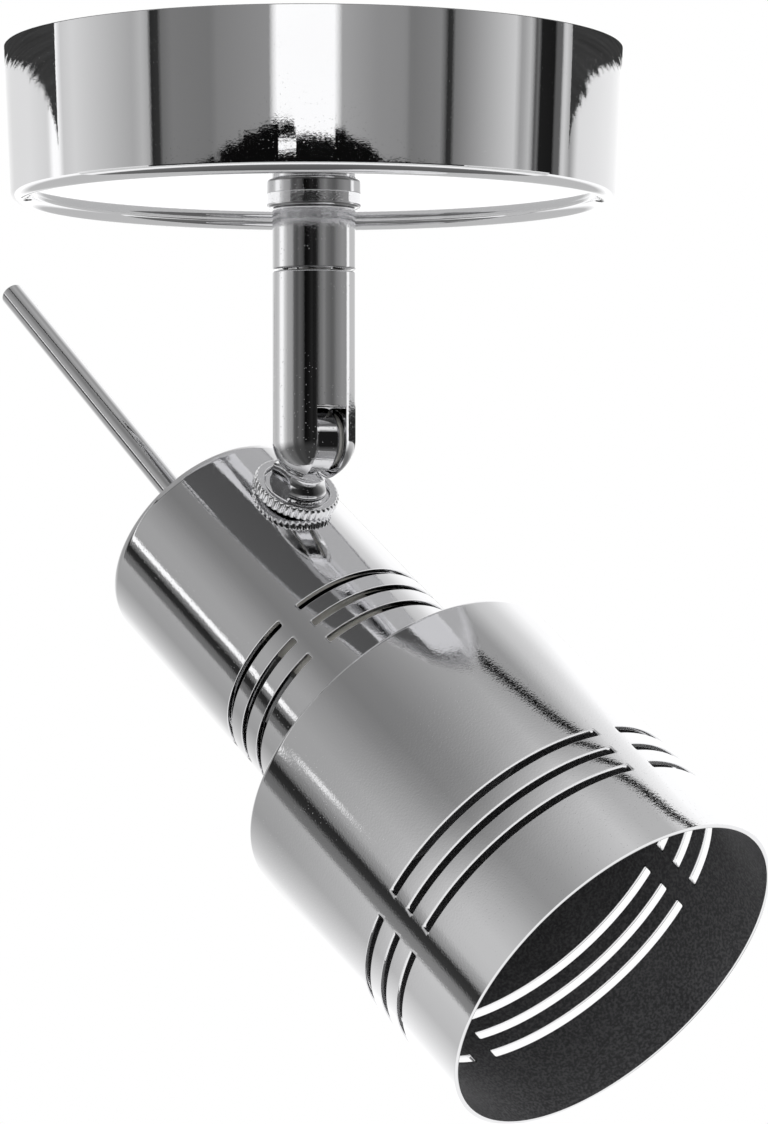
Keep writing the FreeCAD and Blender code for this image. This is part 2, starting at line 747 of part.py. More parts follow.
def make_shade_screws():
    """Two screws from inside the shade, through its back and the housing's lip, into the bracket's tabs."""
    screws = []
    for side in (-1, 1):
        place = V(shade_start + shade_wall, side * shade_screw_place, 0)
        head = (shade_screw_head_radius, shade_screw_head_height)
        screws.append(slotted_screw(head, shade_screw_radius, shade_screw_reach, place, X_AXIS * -1))
    return on_head(Part.makeCompound(screws))


def make_holder_bracket():
    """A U of steel strip: a base behind the lampholder, two legs beside it, tabs on the housing's lip."""
    half = bracket_width / 2
    tab_end = housing_bore - bracket_leg_gap
    tab_front = tab_station + bracket_thickness
    solid = box(V(bracket_base_station, -leg_outside, -half), V(holder_back, leg_outside, half))
    for side in (-1, 1):
        leg = box(V(bracket_base_station, leg_inside, -half), V(tab_front, leg_outside, half))
        tab = box(V(tab_station, leg_inside, -half), V(tab_front, tab_end, half))
        tab = tab.common(cylinder(tab_end, bracket_thickness, V(tab_station, 0, 0), X_AXIS))
        arm = leg.fuse(tab)
        if side < 0:
            arm.rotate(ORIGIN, X_AXIS, 180)
        solid = solid.fuse(arm)
    solid = solid.removeSplitter()
    bends = [e for e in solid.Edges if e.BoundBox.XMax < bracket_base_station + seat_gap]
    bends = [e for e in bends if e.BoundBox.ZLength > half and e.BoundBox.YLength < bracket_thickness]
    solid = solid.makeFillet(bracket_bend, bends)
    for side in (-1, 1):
        tab_hole = V(tab_station, side * shade_screw_place, 0)
        solid = solid.cut(way(shade_screw_radius, bracket_thickness, tab_hole, X_AXIS))
        screw_hole = V(bracket_base_station, side * holder_screw_place, 0)
        solid = solid.cut(way(holder_screw_radius + seat_gap, bracket_thickness, screw_hole, X_AXIS))
    earth_hole = way(head_earth_radius, bracket_thickness, V(bracket_base_station, 0, 0), X_AXIS)
    return on_head(solid.cut(earth_hole))


def make_lampholder_back():
    """Ceramic back plate between the bracket and the body."""
    solid = cylinder(holder_radius, holder_back_height, V(holder_back, 0, 0), X_AXIS)
    for side in (-1, 1):
        place = V(holder_back, side * holder_screw_place, 0)
        solid = solid.cut(way(holder_screw_radius + seat_gap, holder_back_height, place, X_AXIS))
    lead_hole = way(pin_head_bore, holder_back_height, V(holder_back, 0, 0), X_AXIS)
    return on_head(solid.cut(lead_hole))


def make_lampholder_body():
    """Ceramic body: two twist-lock holes for the lamp's pins in front, a contact chamber behind."""
    length = holder_front - contact_station
    solid = cylinder(holder_radius, length, V(contact_station, 0, 0), X_AXIS)
    front_rim = [e for e in solid.Edges if len(e.Vertexes) == 1 and e.BoundBox.XMin > contact_station]
    solid = solid.makeFillet(holder_edge, front_rim)
    solid = solid.cut(cylinder(holder_cavity_radius, 2 * holder_cavity_depth, chamber_start(), X_AXIS))
    for turn in (0, 180):
        pin_hole = way(pin_head_bore, length, V(contact_station, pin_spacing / 2, 0), X_AXIS)
        for step in range(1, pin_turn_steps + 1):
            neck = way(pin_neck_bore, length, V(contact_station, pin_spacing / 2, 0), X_AXIS)
            neck.rotate(ORIGIN, X_AXIS, pin_turn_deg * step / pin_turn_steps)
            pin_hole = pin_hole.fuse(neck)
        pin_hole.rotate(ORIGIN, X_AXIS, turn)
        solid = solid.cut(pin_hole)
    for side in (-1, 1):
        place = V(contact_station, side * holder_screw_place, 0)
        solid = solid.cut(cylinder(holder_screw_radius, holder_screw_length, place, X_AXIS))
    return on_head(solid.removeSplitter())


def chamber_start():
    """The chamber's cutter runs out through the back."""
    return V(contact_station - holder_cavity_depth, 0, 0)


def make_lampholder_contacts():
    """Two sprung brass clips in the chamber, one behind each pin hole."""
    half = contact_width / 2
    clips = []
    for side in (-1, 1):
        low = V(contact_station, side * pin_spacing / 2 - contact_span / 2, -half)
        clip = box(low, V(low.x + contact_height, low.y + contact_span, half))
        gap_low = V(low.x + contact_thickness, low.y + contact_thickness, -half)
        gap_high = V(low.x + contact_height, low.y + contact_span - contact_thickness, half)
        clips.append(clip.cut(box(gap_low, gap_high)))
    return on_head(Part.makeCompound(clips))


def make_holder_screws():
    screws = []
    for side in (-1, 1):
        place = V(bracket_base_station, side * holder_screw_place, 0)
        head = (holder_screw_head_radius, holder_screw_head_height)
        screws.append(slotted_screw(head, holder_screw_radius, holder_screw_length, place, X_AXIS))
    return on_head(Part.makeCompound(screws))


def make_head_earth_screw():
    head = (head_earth_head_radius, head_earth_head_height)
    place = V(bracket_base_station, 0, 0)
    return on_head(slotted_screw(head, head_earth_radius, bracket_thickness, place, X_AXIS))


def make_pull_rod():
    """Round handle that leans a little, with a thinner straight threaded end through the housing's back."""
    seat = V(-housing_back, 0, 0)
    rod = cylinder(rod_radius, rod_reach + cut_over, V(-rod_reach, 0, 0), X_AXIS)
    tip_rim = [e for e in rod.Edges if len(e.Vertexes) == 1 and e.BoundBox.XMax < -rod_edge]
    rod = rod.makeFillet(rod_edge, tip_rim)
    rod.rotate(ORIGIN, Y_AXIS, rod_lean_deg)
    rod.rotate(ORIGIN, X_AXIS, rod_lean_side_deg)
    rod = rod.cut(box(V(0, -rod_reach, -rod_reach), V(rod_reach, rod_reach, rod_reach)))
    rod.translate(seat)
    stud_length = housing_wall + rod_washer_height + rod_nut_height + rod_stud_stick_out
    stud = cylinder(rod_stud_radius, stud_length, seat, X_AXIS)
    return on_head(rod.fuse(stud).removeSplitter())


def make_rod_washer():
    start = V(housing_wall - housing_back, 0, 0)
    return on_head(tube(rod_washer_radius, rod_stud_radius + seat_gap, rod_washer_height, start, X_AXIS))


def make_rod_nut():
    start = V(housing_wall + rod_washer_height - housing_back, 0, 0)
    return on_head(hexagon(rod_nut_flats, rod_nut_height, rod_stud_radius + seat_gap, start, X_AXIS))


NODES = {
    "canopy": make_canopy,
    "ceiling_strap": make_ceiling_strap,
    "threaded_nipple": make_nipple,
    "strap_lock_nut": make_bracket_lock_nut,
    "canopy_washer": make_canopy_washer,
    "canopy_nut": make_canopy_nut,
    "earth_screw": make_earth_screw,
    "terminal_block": make_terminal_block,
    "terminal_tubes": make_terminal_tubes,
    "terminal_screws": make_terminal_screws,
    "terminal_fixing_screw": make_terminal_fixing_screw,
    "collar": make_collar,
    "upper_stem": make_upper_stem,
    "swivel_washer": make_swivel_washer,
    "swivel_spring_washer": make_spring_washer,
    "swivel_retainer": make_swivel_retainer,
    "swivel_stop_pin": make_stop_pin,
    "lower_stem": make_lower_stem,
    "knuckle_screw": make_knuckle_screw,
    "friction_washers": make_friction_washers,
    "knuckle_tongue": make_knuckle_tongue,
    "knurled_ring": make_knurled_ring,
    "inner_washer": make_inner_washer,
    "inner_nut": make_inner_nut,
    "rear_housing": make_rear_housing,
    "pull_rod": make_pull_rod,
    "rod_washer": make_rod_washer,
    "rod_nut": make_rod_nut,
    "front_shade": make_front_shade,
    "shade_screws": make_shade_screws,
    "holder_bracket": make_holder_bracket,
    "lampholder_back": make_lampholder_back,
    "lampholder_body": make_lampholder_body,
    "lampholder_contacts": make_lampholder_contacts,
    "holder_screws": make_holder_screws,
    "head_earth_screw": make_head_earth_screw,
}

os.makedirs("parts", exist_ok=True)
for name, make in NODES.items():
    shape = make()
    shape.exportStep("parts/" + name + ".step")
    print(name, len(shape.Solids), "solids", round(shape.Volume), "mm3", shape.isValid())
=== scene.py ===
import json
import math
import bpy
from mathutils import Matrix, Vector


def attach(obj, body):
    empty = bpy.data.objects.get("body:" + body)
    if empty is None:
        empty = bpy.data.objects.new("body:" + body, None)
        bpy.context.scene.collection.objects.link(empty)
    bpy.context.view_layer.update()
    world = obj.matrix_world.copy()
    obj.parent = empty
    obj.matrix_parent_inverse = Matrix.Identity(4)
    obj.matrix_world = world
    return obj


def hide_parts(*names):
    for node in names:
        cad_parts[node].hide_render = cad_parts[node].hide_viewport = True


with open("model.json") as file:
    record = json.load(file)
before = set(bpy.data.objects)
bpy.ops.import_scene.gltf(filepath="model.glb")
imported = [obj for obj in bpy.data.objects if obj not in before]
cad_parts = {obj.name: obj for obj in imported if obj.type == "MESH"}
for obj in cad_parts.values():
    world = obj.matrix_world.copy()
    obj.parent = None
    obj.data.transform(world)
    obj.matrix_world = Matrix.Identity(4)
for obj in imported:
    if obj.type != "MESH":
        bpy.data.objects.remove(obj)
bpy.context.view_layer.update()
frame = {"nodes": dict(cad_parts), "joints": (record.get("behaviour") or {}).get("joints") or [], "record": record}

# Chrome ceiling spotlight, dressed for a studio picture. Lengths in the dictionaries are millimetres.
mm = 0.001
pole = 0.03  # a point on a lathe's axis is drawn as a ring this small, and filled afterwards
scene = bpy.context.scene
nodes = frame["nodes"]
joints = {joint["name"]: joint for joint in frame["joints"]}
mounts = {mount["name"]: mount for mount in frame["record"]["mounts"]}
print("frame loaded:", len(nodes), "pieces")


# Places that follow from the frame
knuckle = Vector(joints["knuckle_tilt"]["pos_m"])
headCentre = Vector(joints["head_turn"]["pos_m"])
neckUp = -Vector(joints["head_turn"]["axis"]).normalized()
towardsMouth = Vector(mounts["lamp_seat"]["axis"]).normalized()


def placeAt(origin, along, side):
    # a lathe stands on its own Z; this lays Z along one direction and X to one side
    side = (side - along * side.dot(along)).normalized()
    turned = Matrix((side, along.cross(side), along)).transposed().to_4x4()
    return Matrix.Translation(origin) @ turned


upright = Matrix.Identity(4)
linkPlace = placeAt(knuckle, neckUp, Vector((1, 0, 0)))  # X stays the knuckle screw's axis
headPlace = placeAt(headCentre, towardsMouth, neckUp)  # X points at the knuckle


# Pieces by the studio walls that their plating mirrors
seenWalls = {"canopy": [], "stem": [], "knuckle": [], "head": []}


# Modelling helpers

def clearSelection():
    if bpy.context.mode != "OBJECT":
        bpy.ops.object.mode_set(mode="OBJECT")
    bpy.ops.object.select_all(action="DESELECT")


def pick(piece):
    clearSelection()
    piece.select_set(True)
    bpy.context.view_layer.objects.active = piece


def edit(piece, mode="VERT"):
    pick(piece)
    bpy.ops.object.mode_set(mode="EDIT")
    bpy.ops.mesh.select_mode(type=mode)
    bpy.ops.mesh.select_all(action="DESELECT")


def selectVerts(piece, test):
    edit(piece)
    bpy.ops.object.mode_set(mode="OBJECT")
    for vert in piece.data.vertices:
        vert.select = test(vert.co)
    bpy.ops.object.mode_set(mode="EDIT")


def selectFaces(piece, test):
    edit(piece, "FACE")
    bpy.ops.object.mode_set(mode="OBJECT")
    for face in piece.data.polygons:
        face.select = test(face.center)
    bpy.ops.object.mode_set(mode="EDIT")


def selectEdges(piece, test):
    edit(piece, "EDGE")
    bpy.ops.object.mode_set(mode="OBJECT")
    verts = piece.data.vertices
    for edge in piece.data.edges:
        edge.select = test(verts[edge.vertices[0]].co, verts[edge.vertices[1]].co)
    bpy.ops.object.mode_set(mode="EDIT")


def applied(piece, kind, **settings):
    pick(piece)
    modifier = piece.modifiers.new(kind, kind)
    for key, value in settings.items():
        setattr(modifier, key, value)
    bpy.ops.object.modifier_apply(modifier=modifier.name)


def roundCorner(start, corner, end, steps=4):
    # points of a quarter round between two straight stretches of an outline, both the same length
    start, corner, end = Vector(start), Vector(corner), Vector(end)
    centre = start + end - corner
    spokes = [start - centre, end - centre]
    points = []
    for step in range(steps + 1):
        angle = math.pi / 2 * step / steps
        points.append(tuple(centre + spokes[0] * math.cos(angle) + spokes[1] * math.sin(angle)))
    return points


def lathe(name, outline, sides, turn=0.0, closed=False):
    # a ring is extruded and resized from point to point of an outline of (radius, height)
    clearSelection()
    radius, height = outline[0]
    start = (0, 0, height * mm)
    bpy.ops.mesh.primitive_circle_add(vertices=sides, radius=radius * mm, location=start,
                                      rotation=(0, 0, turn))
    piece = bpy.context.active_object
    piece.name = piece.data.name = name
    bpy.ops.object.transform_apply(location=True, rotation=True, scale=True)
    bpy.ops.object.mode_set(mode="EDIT")
    bpy.ops.mesh.select_all(action="SELECT")
    for nextRadius, nextHeight in outline[1:]:
        rise = (0, 0, (nextHeight - height) * mm)
        bpy.ops.mesh.extrude_region_move(TRANSFORM_OT_translate={"value": rise})
        if nextRadius != radius:
            share = nextRadius / radius
            bpy.ops.transform.resize(value=(share, share, 1), center_override=(0, 0, nextHeight * mm))
        radius, height = nextRadius, nextHeight
    bpy.ops.mesh.select_all(action="SELECT")
    bpy.ops.mesh.remove_doubles(threshold=0.002 * mm)
    if not closed:
        closePoles(piece)
    bpy.ops.mesh.select_all(action="SELECT")
    bpy.ops.mesh.normals_make_consistent(inside=False)
    bpy.ops.object.mode_set(mode="OBJECT")
    return piece


def closePoles(piece):
    # open ends that were drawn as small rings are filled
    bpy.ops.mesh.select_mode(type="EDGE")
    bpy.ops.mesh.select_all(action="DESELECT")
    bpy.ops.mesh.select_non_manifold(extend=False)
    bpy.ops.mesh.fill_holes(sides=0)


def block(name, low, high):
    clearSelection()
    middle = [(a + b) / 2 * mm for a, b in zip(low, high)]
    size = [(b - a) * mm for a, b in zip(low, high)]
    bpy.ops.mesh.primitive_cube_add(size=1, location=middle, scale=size)
    piece = bpy.context.active_object
    piece.name = piece.data.name = name
    bpy.ops.object.transform_apply(location=True, rotation=True, scale=True)
    return piece


def crossBar(radius, length, sides, middle):
    # a round bar along X
    clearSelection()
    bpy.ops.mesh.primitive_cylinder_add(vertices=sides, radius=radius * mm, depth=length * mm,
                                        location=Vector(middle) * mm, rotation=(0, math.pi / 2, 0))
    return bpy.context.active_object


def combine(piece, other, operation, solver="EXACT"):
    # parts that share faces need the manifold solver, which always settles them the same way
    applied(piece, "BOOLEAN", operation=operation, object=other, solver=solver)
    bpy.data.objects.remove(other, do_unlink=True)
    return piece


def easeEdges(piece, width, steps=2, above=40):
    # a narrow round on every edge that is sharper than the given degrees; it catches the light
    edit(piece, "EDGE")
    bpy.ops.mesh.edges_select_sharp(sharpness=math.radians(above))
    bpy.ops.mesh.bevel(offset=width * mm, offset_type="OFFSET", segments=steps, profile=0.5,
                       clamp_overlap=True)
    bpy.ops.object.mode_set(mode="OBJECT")


def smooth(piece):
    # the large faces lead the shading, so that flats stay flat up to their eased edges
    pick(piece)
    bpy.ops.object.shade_smooth()
    applied(piece, "WEIGHTED_NORMAL", weight=60)


def setDown(piece, place):
    # from the lathe's own place to the light's, with the object left at the origin
    pick(piece)
    piece.matrix_world = place @ piece.matrix_world
    bpy.ops.object.transform_apply(location=True, rotation=True, scale=True)
    return piece


def finished(piece, body, slot, material, walls, *replaced):
    # the two slotted cups come here with their finishes already, one outside and one inside
    if not piece.data.materials:
        piece.data.materials.append(material)
    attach(piece, body)
    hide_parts(*replaced)
    seenWalls[walls].append(piece)
    print("piece", piece.name, len(piece.data.polygons), "faces")
    return piece


# Shader helper

class Wire:
    # one output of a node; sums on it add Math nodes beside it
    def __init__(self, tree, socket=None):
        self.tree, self.socket = tree, socket

    def node(self, kind, settings=None, inputs=None, output=0):
        made = self.tree.nodes.new("ShaderNode" + kind)
        for key, value in (settings or {}).items():
            if key == "stops":
                fillRamp(made.color_ramp, value)
            else:
                setattr(made, key, value)
        for key, value in (inputs or {}).items():
            if isinstance(value, Wire):
                self.tree.links.new(value.socket, made.inputs[key])
            else:
                made.inputs[key].default_value = value
        return Wire(self.tree, made.outputs[output]) if len(made.outputs) else None

    def maths(self, operation, first, second=0.0):
        return self.node("Math", {"operation": operation}, {0: first, 1: second})

    def blend(self, share, first, second):
        # a mix of two colours; 6, 7 and 2 are the colour sockets of the Mix node
        return self.node("Mix", {"data_type": "RGBA"}, {0: share, 6: asColour(first), 7: asColour(second)}, 2)

    def ramp(self, stops, place):
        return self.node("ValToRGB", {"stops": stops}, {"Fac": place})

    def noise(self, spot, scale, detail):
        return self.node("TexNoise", None, {"Vector": spot, "Scale": scale, "Detail": detail}, "Fac")

    def below(self, value, limit):
        return self.maths("LESS_THAN", value, limit)

    def above(self, value, limit):
        return self.maths("GREATER_THAN", value, limit)

    def within(self, value, middle, half):
        return self.below(self.maths("ABSOLUTE", value - middle), half)

    def bumped(self, height):
        # heights are in millimetres
        return self.node("Bump", None, {"Height": height, "Distance": mm, "Strength": 1.0}, "Normal")

    def __add__(self, other):
        return self.maths("ADD", self, other)

    def __radd__(self, other):
        return self.maths("ADD", other, self)

    def __sub__(self, other):
        return self.maths("SUBTRACT", self, other)

    def __rsub__(self, other):
        return self.maths("SUBTRACT", other, self)

    def __mul__(self, other):
        return self.maths("MULTIPLY", self, other)

    def __rmul__(self, other):
        return self.maths("MULTIPLY", other, self)

    def __truediv__(self, other):
        return self.maths("DIVIDE", self, other)

    def __rtruediv__(self, other):
        return self.maths("DIVIDE", other, self)


def fillRamp(ramp, stops):
    while len(ramp.elements) > 1:
        ramp.elements.remove(ramp.elements[0])
    ramp.elements[0].position, ramp.elements[0].color = stops[0][0], asColour(stops[0][1])
    for position, colour in stops[1:]:
        ramp.elements.new(position).color = asColour(colour)


def asColour(colour):
    # one number is a grey, three are a colour; a socket wants four
    if isinstance(colour, (int, float)):
        return (colour, colour, colour, 1)
    return (*colour, 1)


def startMaterial(name):
    material = bpy.data.materials.new(name)
    material.use_nodes = True
    tree = material.node_tree
    tree.nodes.clear()
    return material, Wire(tree)


def endMaterial(start, sockets, constants):
    shader = start.node("BsdfPrincipled", None, {**constants, **sockets})
    start.node("OutputMaterial", None, {"Surface": shader})


def grainCoordinates(start, place, along, around):
    # object coordinates turned onto a lathe's axis, fine along it and long around it
    location, turn, _ = place.decompose()
    spot = start.node("TexCoord", None, None, "Object")
    turned = {"Vector": spot, "Location": location, "Rotation": turn.to_euler()}
    local = start.node("Mapping", {"vector_type": "TEXTURE"}, turned)
    return start.node("Mapping", None, {"Vector": local, "Scale": (around, around, along)})


chromeLook = {
    "colour": (0.83, 0.83, 0.84),
    "clouded": (0.79, 0.79, 0.80),
    "roughness": 0.045,
    "cloudRoughness": 0.05,
    "cloudScale": 55,
    "peelScale": 2600,
    "peelHeight": 0.0040,
    "spinAlong": 5200,
    "spinAround": 330,
    "spinHeight": 0.0006,
    "pitScale": 1700,
    "pitEdge": 0.15,
    "pitClouds": (0.43, 0.52),
    "pitHeight": 0.05,
    "pitRoughness": 0.25,
}

canopyLook = {
    **chromeLook,
    "roughness": 0.02,
    "cloudRoughness": 0.02,
    "peelHeight": 0.0009,
    "spinHeight": 0.0003,
    "pitHeight": 0.001,
}

headLook = {
    **chromeLook,
    "roughness": 0.034,
    "peelScale": 3000,
    "peelHeight": 0.0055,
    "spinHeight": 0.0010,
    "pitHeight": 0.010,
}


def makeChrome(name, place, look=chromeLook):
    # bright plate with a fine orange peel, faint spinning marks and a few pits
    material, start = startMaterial(name)
    spot = start.node("TexCoord", None, None, "Object")
    spun = grainCoordinates(start, place, look["spinAlong"], look["spinAround"])
    peel = start.noise(spot, look["peelScale"], 2.0)
    spin = start.noise(spun, 1.0, 3.0)
    cloud = start.noise(spot, look["cloudScale"], 4.0)
    pits = start.node("TexVoronoi", None, {"Vector": spot, "Scale": look["pitScale"]}, "Distance")
    few, many = look["pitClouds"]
    pit = start.ramp([(0.0, 1.0), (look["pitEdge"], 0.0)], pits)
    pit = pit * start.ramp([(few, 0.0), (many, 1.0)], cloud)
    height = peel * look["peelHeight"] + spin * look["spinHeight"] - pit * look["pitHeight"]
    bump = start.bumped(height)
    rough = cloud * look["cloudRoughness"] + pit * look["pitRoughness"]
    rough = rough + (look["roughness"] - look["cloudRoughness"] / 2)
    tint = start.blend(cloud, look["colour"], look["clouded"])
    endMaterial(start, {"Base Color": tint, "Roughness": rough, "Normal": bump}, {"Metallic": 1.0})
    return material


insideLook = {
    "dark": (0.026, 0.026, 0.028),
    "light": (0.120, 0.120, 0.124),
    "roughness": 0.40,
    "cloudRoughness": 0.16,
    "cloudScale": 70,
    "cloudShare": 0.4,
    "speckScale": 2300,
    "speckStart": 0.42,
    "speckFull": 0.62,
    "speckHeight": 0.045,
}


def makeInsideCoat():
    # the dark coat inside the shade, grainy and half matt
    look = insideLook
    material, start = startMaterial("dark inside coat")
    spot = start.node("TexCoord", None, None, "Object")
    specks = start.noise(spot, look["speckScale"], 3.0)
    cloud = start.noise(spot, look["cloudScale"], 4.0)
    mask = start.ramp([(look["speckStart"], 0.0), (look["speckFull"], 1.0)], specks)
    mask = mask * (1 - look["cloudShare"]) + cloud * look["cloudShare"]
    colour = start.blend(mask, look["dark"], look["light"])
    bump = start.bumped(specks * look["speckHeight"])
    rough = cloud * look["cloudRoughness"] + (look["roughness"] - look["cloudRoughness"] / 2)
    endMaterial(start, {"Base Color": colour, "Roughness": rough, "Normal": bump}, {"Metallic": 0.0})
    return material


metalLook = {
    "metallic": 1.0,
    "mottleScale": 260,
    "mottleRoughness": 0.22,
    "toothFiner": 9,
    "toothHeight": 0.004,
}

plasticLook = {**metalLook, "metallic": 0.0, "mottleScale": 180, "toothHeight": 0.01}

zincLook = {**metalLook, "colour": (0.66, 0.67, 0.68), "shade": (0.50, 0.50, 0.50), "roughness": 0.34}
brassLook = {**metalLook, "colour": (0.75, 0.58, 0.30), "shade": (0.60, 0.45, 0.20), "roughness": 0.30}
nylonLook = {**plasticLook, "colour": (0.76, 0.75, 0.71), "shade": (0.70, 0.69, 0.64), "roughness": 0.42}

blockLook = {
    **plasticLook,
    "colour": (0.80, 0.79, 0.74),
    "shade": (0.74, 0.72, 0.66),
    "roughness": 0.50,
    "toothHeight": 0.02,
}

ceramicLook = {
    **plasticLook,
    "colour": (0.78, 0.76, 0.71),
    "shade": (0.70, 0.68, 0.62),
    "roughness": 0.20,
    "mottleScale": 120,
    "toothHeight": 0.012,
}


def makeSmallFinish(name, look):
    # plated or moulded small pieces: mottled colour and shine, with a fine tooth
    material, start = startMaterial(name)
    scale, change = look["mottleScale"], look["mottleRoughness"]
    spot = start.node("TexCoord", None, None, "Object")
    mottle = start.noise(spot, scale, 5.0)
    tooth = start.noise(spot, scale * look["toothFiner"], 2.0)
    colour = start.blend(mottle, look["colour"], look["shade"])
    rough = mottle * change + (look["roughness"] - change / 2)
    bump = start.bumped(tooth * look["toothHeight"])
    sockets = {"Base Color": colour, "Roughness": rough, "Normal": bump}
    endMaterial(start, sockets, {"Metallic": look["metallic"]})
    return material


canopyChrome = makeChrome("canopy chrome", upright, canopyLook)
stemChrome = makeChrome("stem chrome", upright)
linkChrome = makeChrome("knuckle chrome", linkPlace)
headChrome = makeChrome("head chrome", headPlace, headLook)
insideCoat = makeInsideCoat()
zincPlate = makeSmallFinish("zinc plate", zincLook)
brass = makeSmallFinish("brass", brassLook)
blockPlastic = makeSmallFinish("block plastic", blockLook)
nylon = makeSmallFinish("nylon", nylonLook)
ceramic = makeSmallFinish("glazed ceramic", ceramicLook)
print("materials made")


# Canopy

canopySize = {
    "radius": 50.0,
    "height": 25.0,
    "wall": 0.8,
    "taper": 1.0,
    "bead": 1.7,
    "dish": 1.6,
    "rimRound": 0.15,
    "hole": 5.05,
    "plateRings": (30, 12, 5.35),
    "plateHold": 0.6,
    "beadSteps": 14,
    "insideSteps": 6,
    "sides": 256,
}


def makeCanopy():
    # one drawn sheet: down the side, round the roll, across the plate and back up inside
    size = canopySize
    radius, wall, rim = size["radius"], size["wall"], size["rimRound"]
    foot = radius - size["taper"]
    bead, low = size["bead"], -size["height"]
    middle, level = foot - bead, low + bead
    plate = low + size["dish"]
    inside = plate + wall
    outline = [(radius - rim, 0), (radius, -rim)]
    outline += [(foot + size["taper"] * share, level * (1 - share)) for share in (0.75, 0.5, 0.25)]
    turnEnd = math.pi - math.asin((level - plate) / bead)
    for step in range(size["beadSteps"] + 1):
        angle = turnEnd * step / size["beadSteps"]
        outline.append((middle + bead * math.cos(angle), level - bead * math.sin(angle)))
    outline.append((outline[-1][0] - size["plateHold"], plate))
    outline += [(ring, plate) for ring in size["plateRings"]]
    outline += [(size["hole"], plate), (size["hole"], inside)]
    outline += [(ring, inside) for ring in size["plateRings"][1::-1]]
    outline.append((middle - bead + wall, inside))
    inner = bead - wall
    for step in range(size["insideSteps"] + 1):
        angle = math.pi - math.pi * step / size["insideSteps"]
        outline.append((middle + inner * math.cos(angle), level - inner * math.sin(angle)))
    outline += [(radius - wall, -rim), (radius - wall + rim, 0), outline[0]]
    piece = lathe("canopy_shell", outline, size["sides"], closed=True)
    smooth(piece)
    return finished(piece, "root", "chrome", canopyChrome, "canopy", "canopy")


# Collar and stem

stemSize = {
    "radius": 6.75,
    "edge": 0.3,
    "top": -25.7,
    "seam": -35.7,
    "seamGap": 0.3,
    "collarRadius": 7.6,
    "collarTop": -23.4,
    "collarEdge": 0.5,
    "collarTopEdge": 0.03,
    "bore": 5.0,
    "spigot": 3.6,
    "spigotBore": 2.6,
    "spigotTop": -31.4,
    "spigotRoom": 0.05,
    "ballSteps": 28,
    "boreEnd": 4,
    "slotWidth": 5.3,
    "slotTop": 5.4,
    "slotReach": 9,
    "screwHead": 2.45,
    "screwSeat": 4.75,
    "screwWay": 10,
    "screwSides": 64,
    "ease": 0.16,
    "sides": 192,
}

holdRing = 0.05  # how near a rim the ring lies that keeps the straight wall's shading straight


def roundedCan(radius, edge, bottom, top, bore, topEdge=None):
    # outline of a short tube with both outer rims rounded
    high = topEdge or edge
    outline = [(bore, top)]
    outline += roundCorner((radius - high, top), (radius, top), (radius, top - high))
    outline += [(radius, top - high - holdRing), (radius, (top + bottom) / 2)]
    outline += [(radius, bottom + edge + holdRing)]
    outline += roundCorner((radius, bottom + edge), (radius, bottom), (radius - edge, bottom))
    return outline + [(bore, bottom), (bore, top)]


def makeCollar():
    # almost square at the top, so that it and its image in the plate look like one band
    size = stemSize
    radius, edge, topEdge = size["collarRadius"], size["collarEdge"], size["collarTopEdge"]
    outline = roundedCan(radius, edge, size["top"], size["collarTop"], size["bore"], topEdge)
    piece = lathe("stem_collar", outline, size["sides"], closed=True)
    smooth(piece)
    return finished(piece, "root", "chrome", stemChrome, "stem", "collar")


def makeUpperStem():
    size = stemSize
    bore = size["spigot"] + size["spigotRoom"]
    outline = roundedCan(size["radius"], size["edge"], size["seam"], size["top"], bore)
    piece = lathe("stem_upper", outline, size["sides"], closed=True)
    smooth(piece)
    return finished(piece, "root", "chrome", stemChrome, "stem", "upper_stem")


def makeLowerStem():
    # bar with a ball end, slotted for the tongue, and a sunk seat for the screw's head
    size = stemSize
    top = size["seam"] - size["seamGap"]
    radius, edge = size["radius"], size["edge"]
    pivot = knuckle.z / mm
    bore, spigot, spigotTop = size["spigotBore"], size["spigot"], size["spigotTop"]
    outline = [(bore, spigotTop), (spigot, spigotTop), (spigot, top)]
    outline += roundCorner((radius - edge, top), (radius, top), (radius, top - edge))
    outline += [(radius, (top * 2 + pivot) / 3), (radius, (top + pivot * 2) / 3)]
    for step in range(size["ballSteps"]):
        angle = math.pi / 2 * step / size["ballSteps"]
        outline.append((radius * math.cos(angle), pivot - radius * math.sin(angle)))
    outline += [(pole, pivot - radius), (pole, pivot), (bore, pivot + size["boreEnd"]), outline[0]]
    piece = lathe("stem_fork", outline, size["sides"], closed=True)
    half, reach = size["slotWidth"] / 2, size["slotReach"]
    slot = block("slot", (-half, -reach, pivot - reach), (half, reach, pivot + size["slotTop"]))
    combine(piece, slot, "DIFFERENCE")
    seat = size["screwSeat"] + size["screwWay"] / 2
    screwWay = crossBar(size["screwHead"], size["screwWay"], size["screwSides"], (seat, 0, pivot))
    combine(piece, screwWay, "DIFFERENCE")
    easeEdges(piece, size["ease"])
    smooth(piece)
    return finished(piece, "stem", "chrome", stemChrome, "stem", "lower_stem")


# Tongue and ring

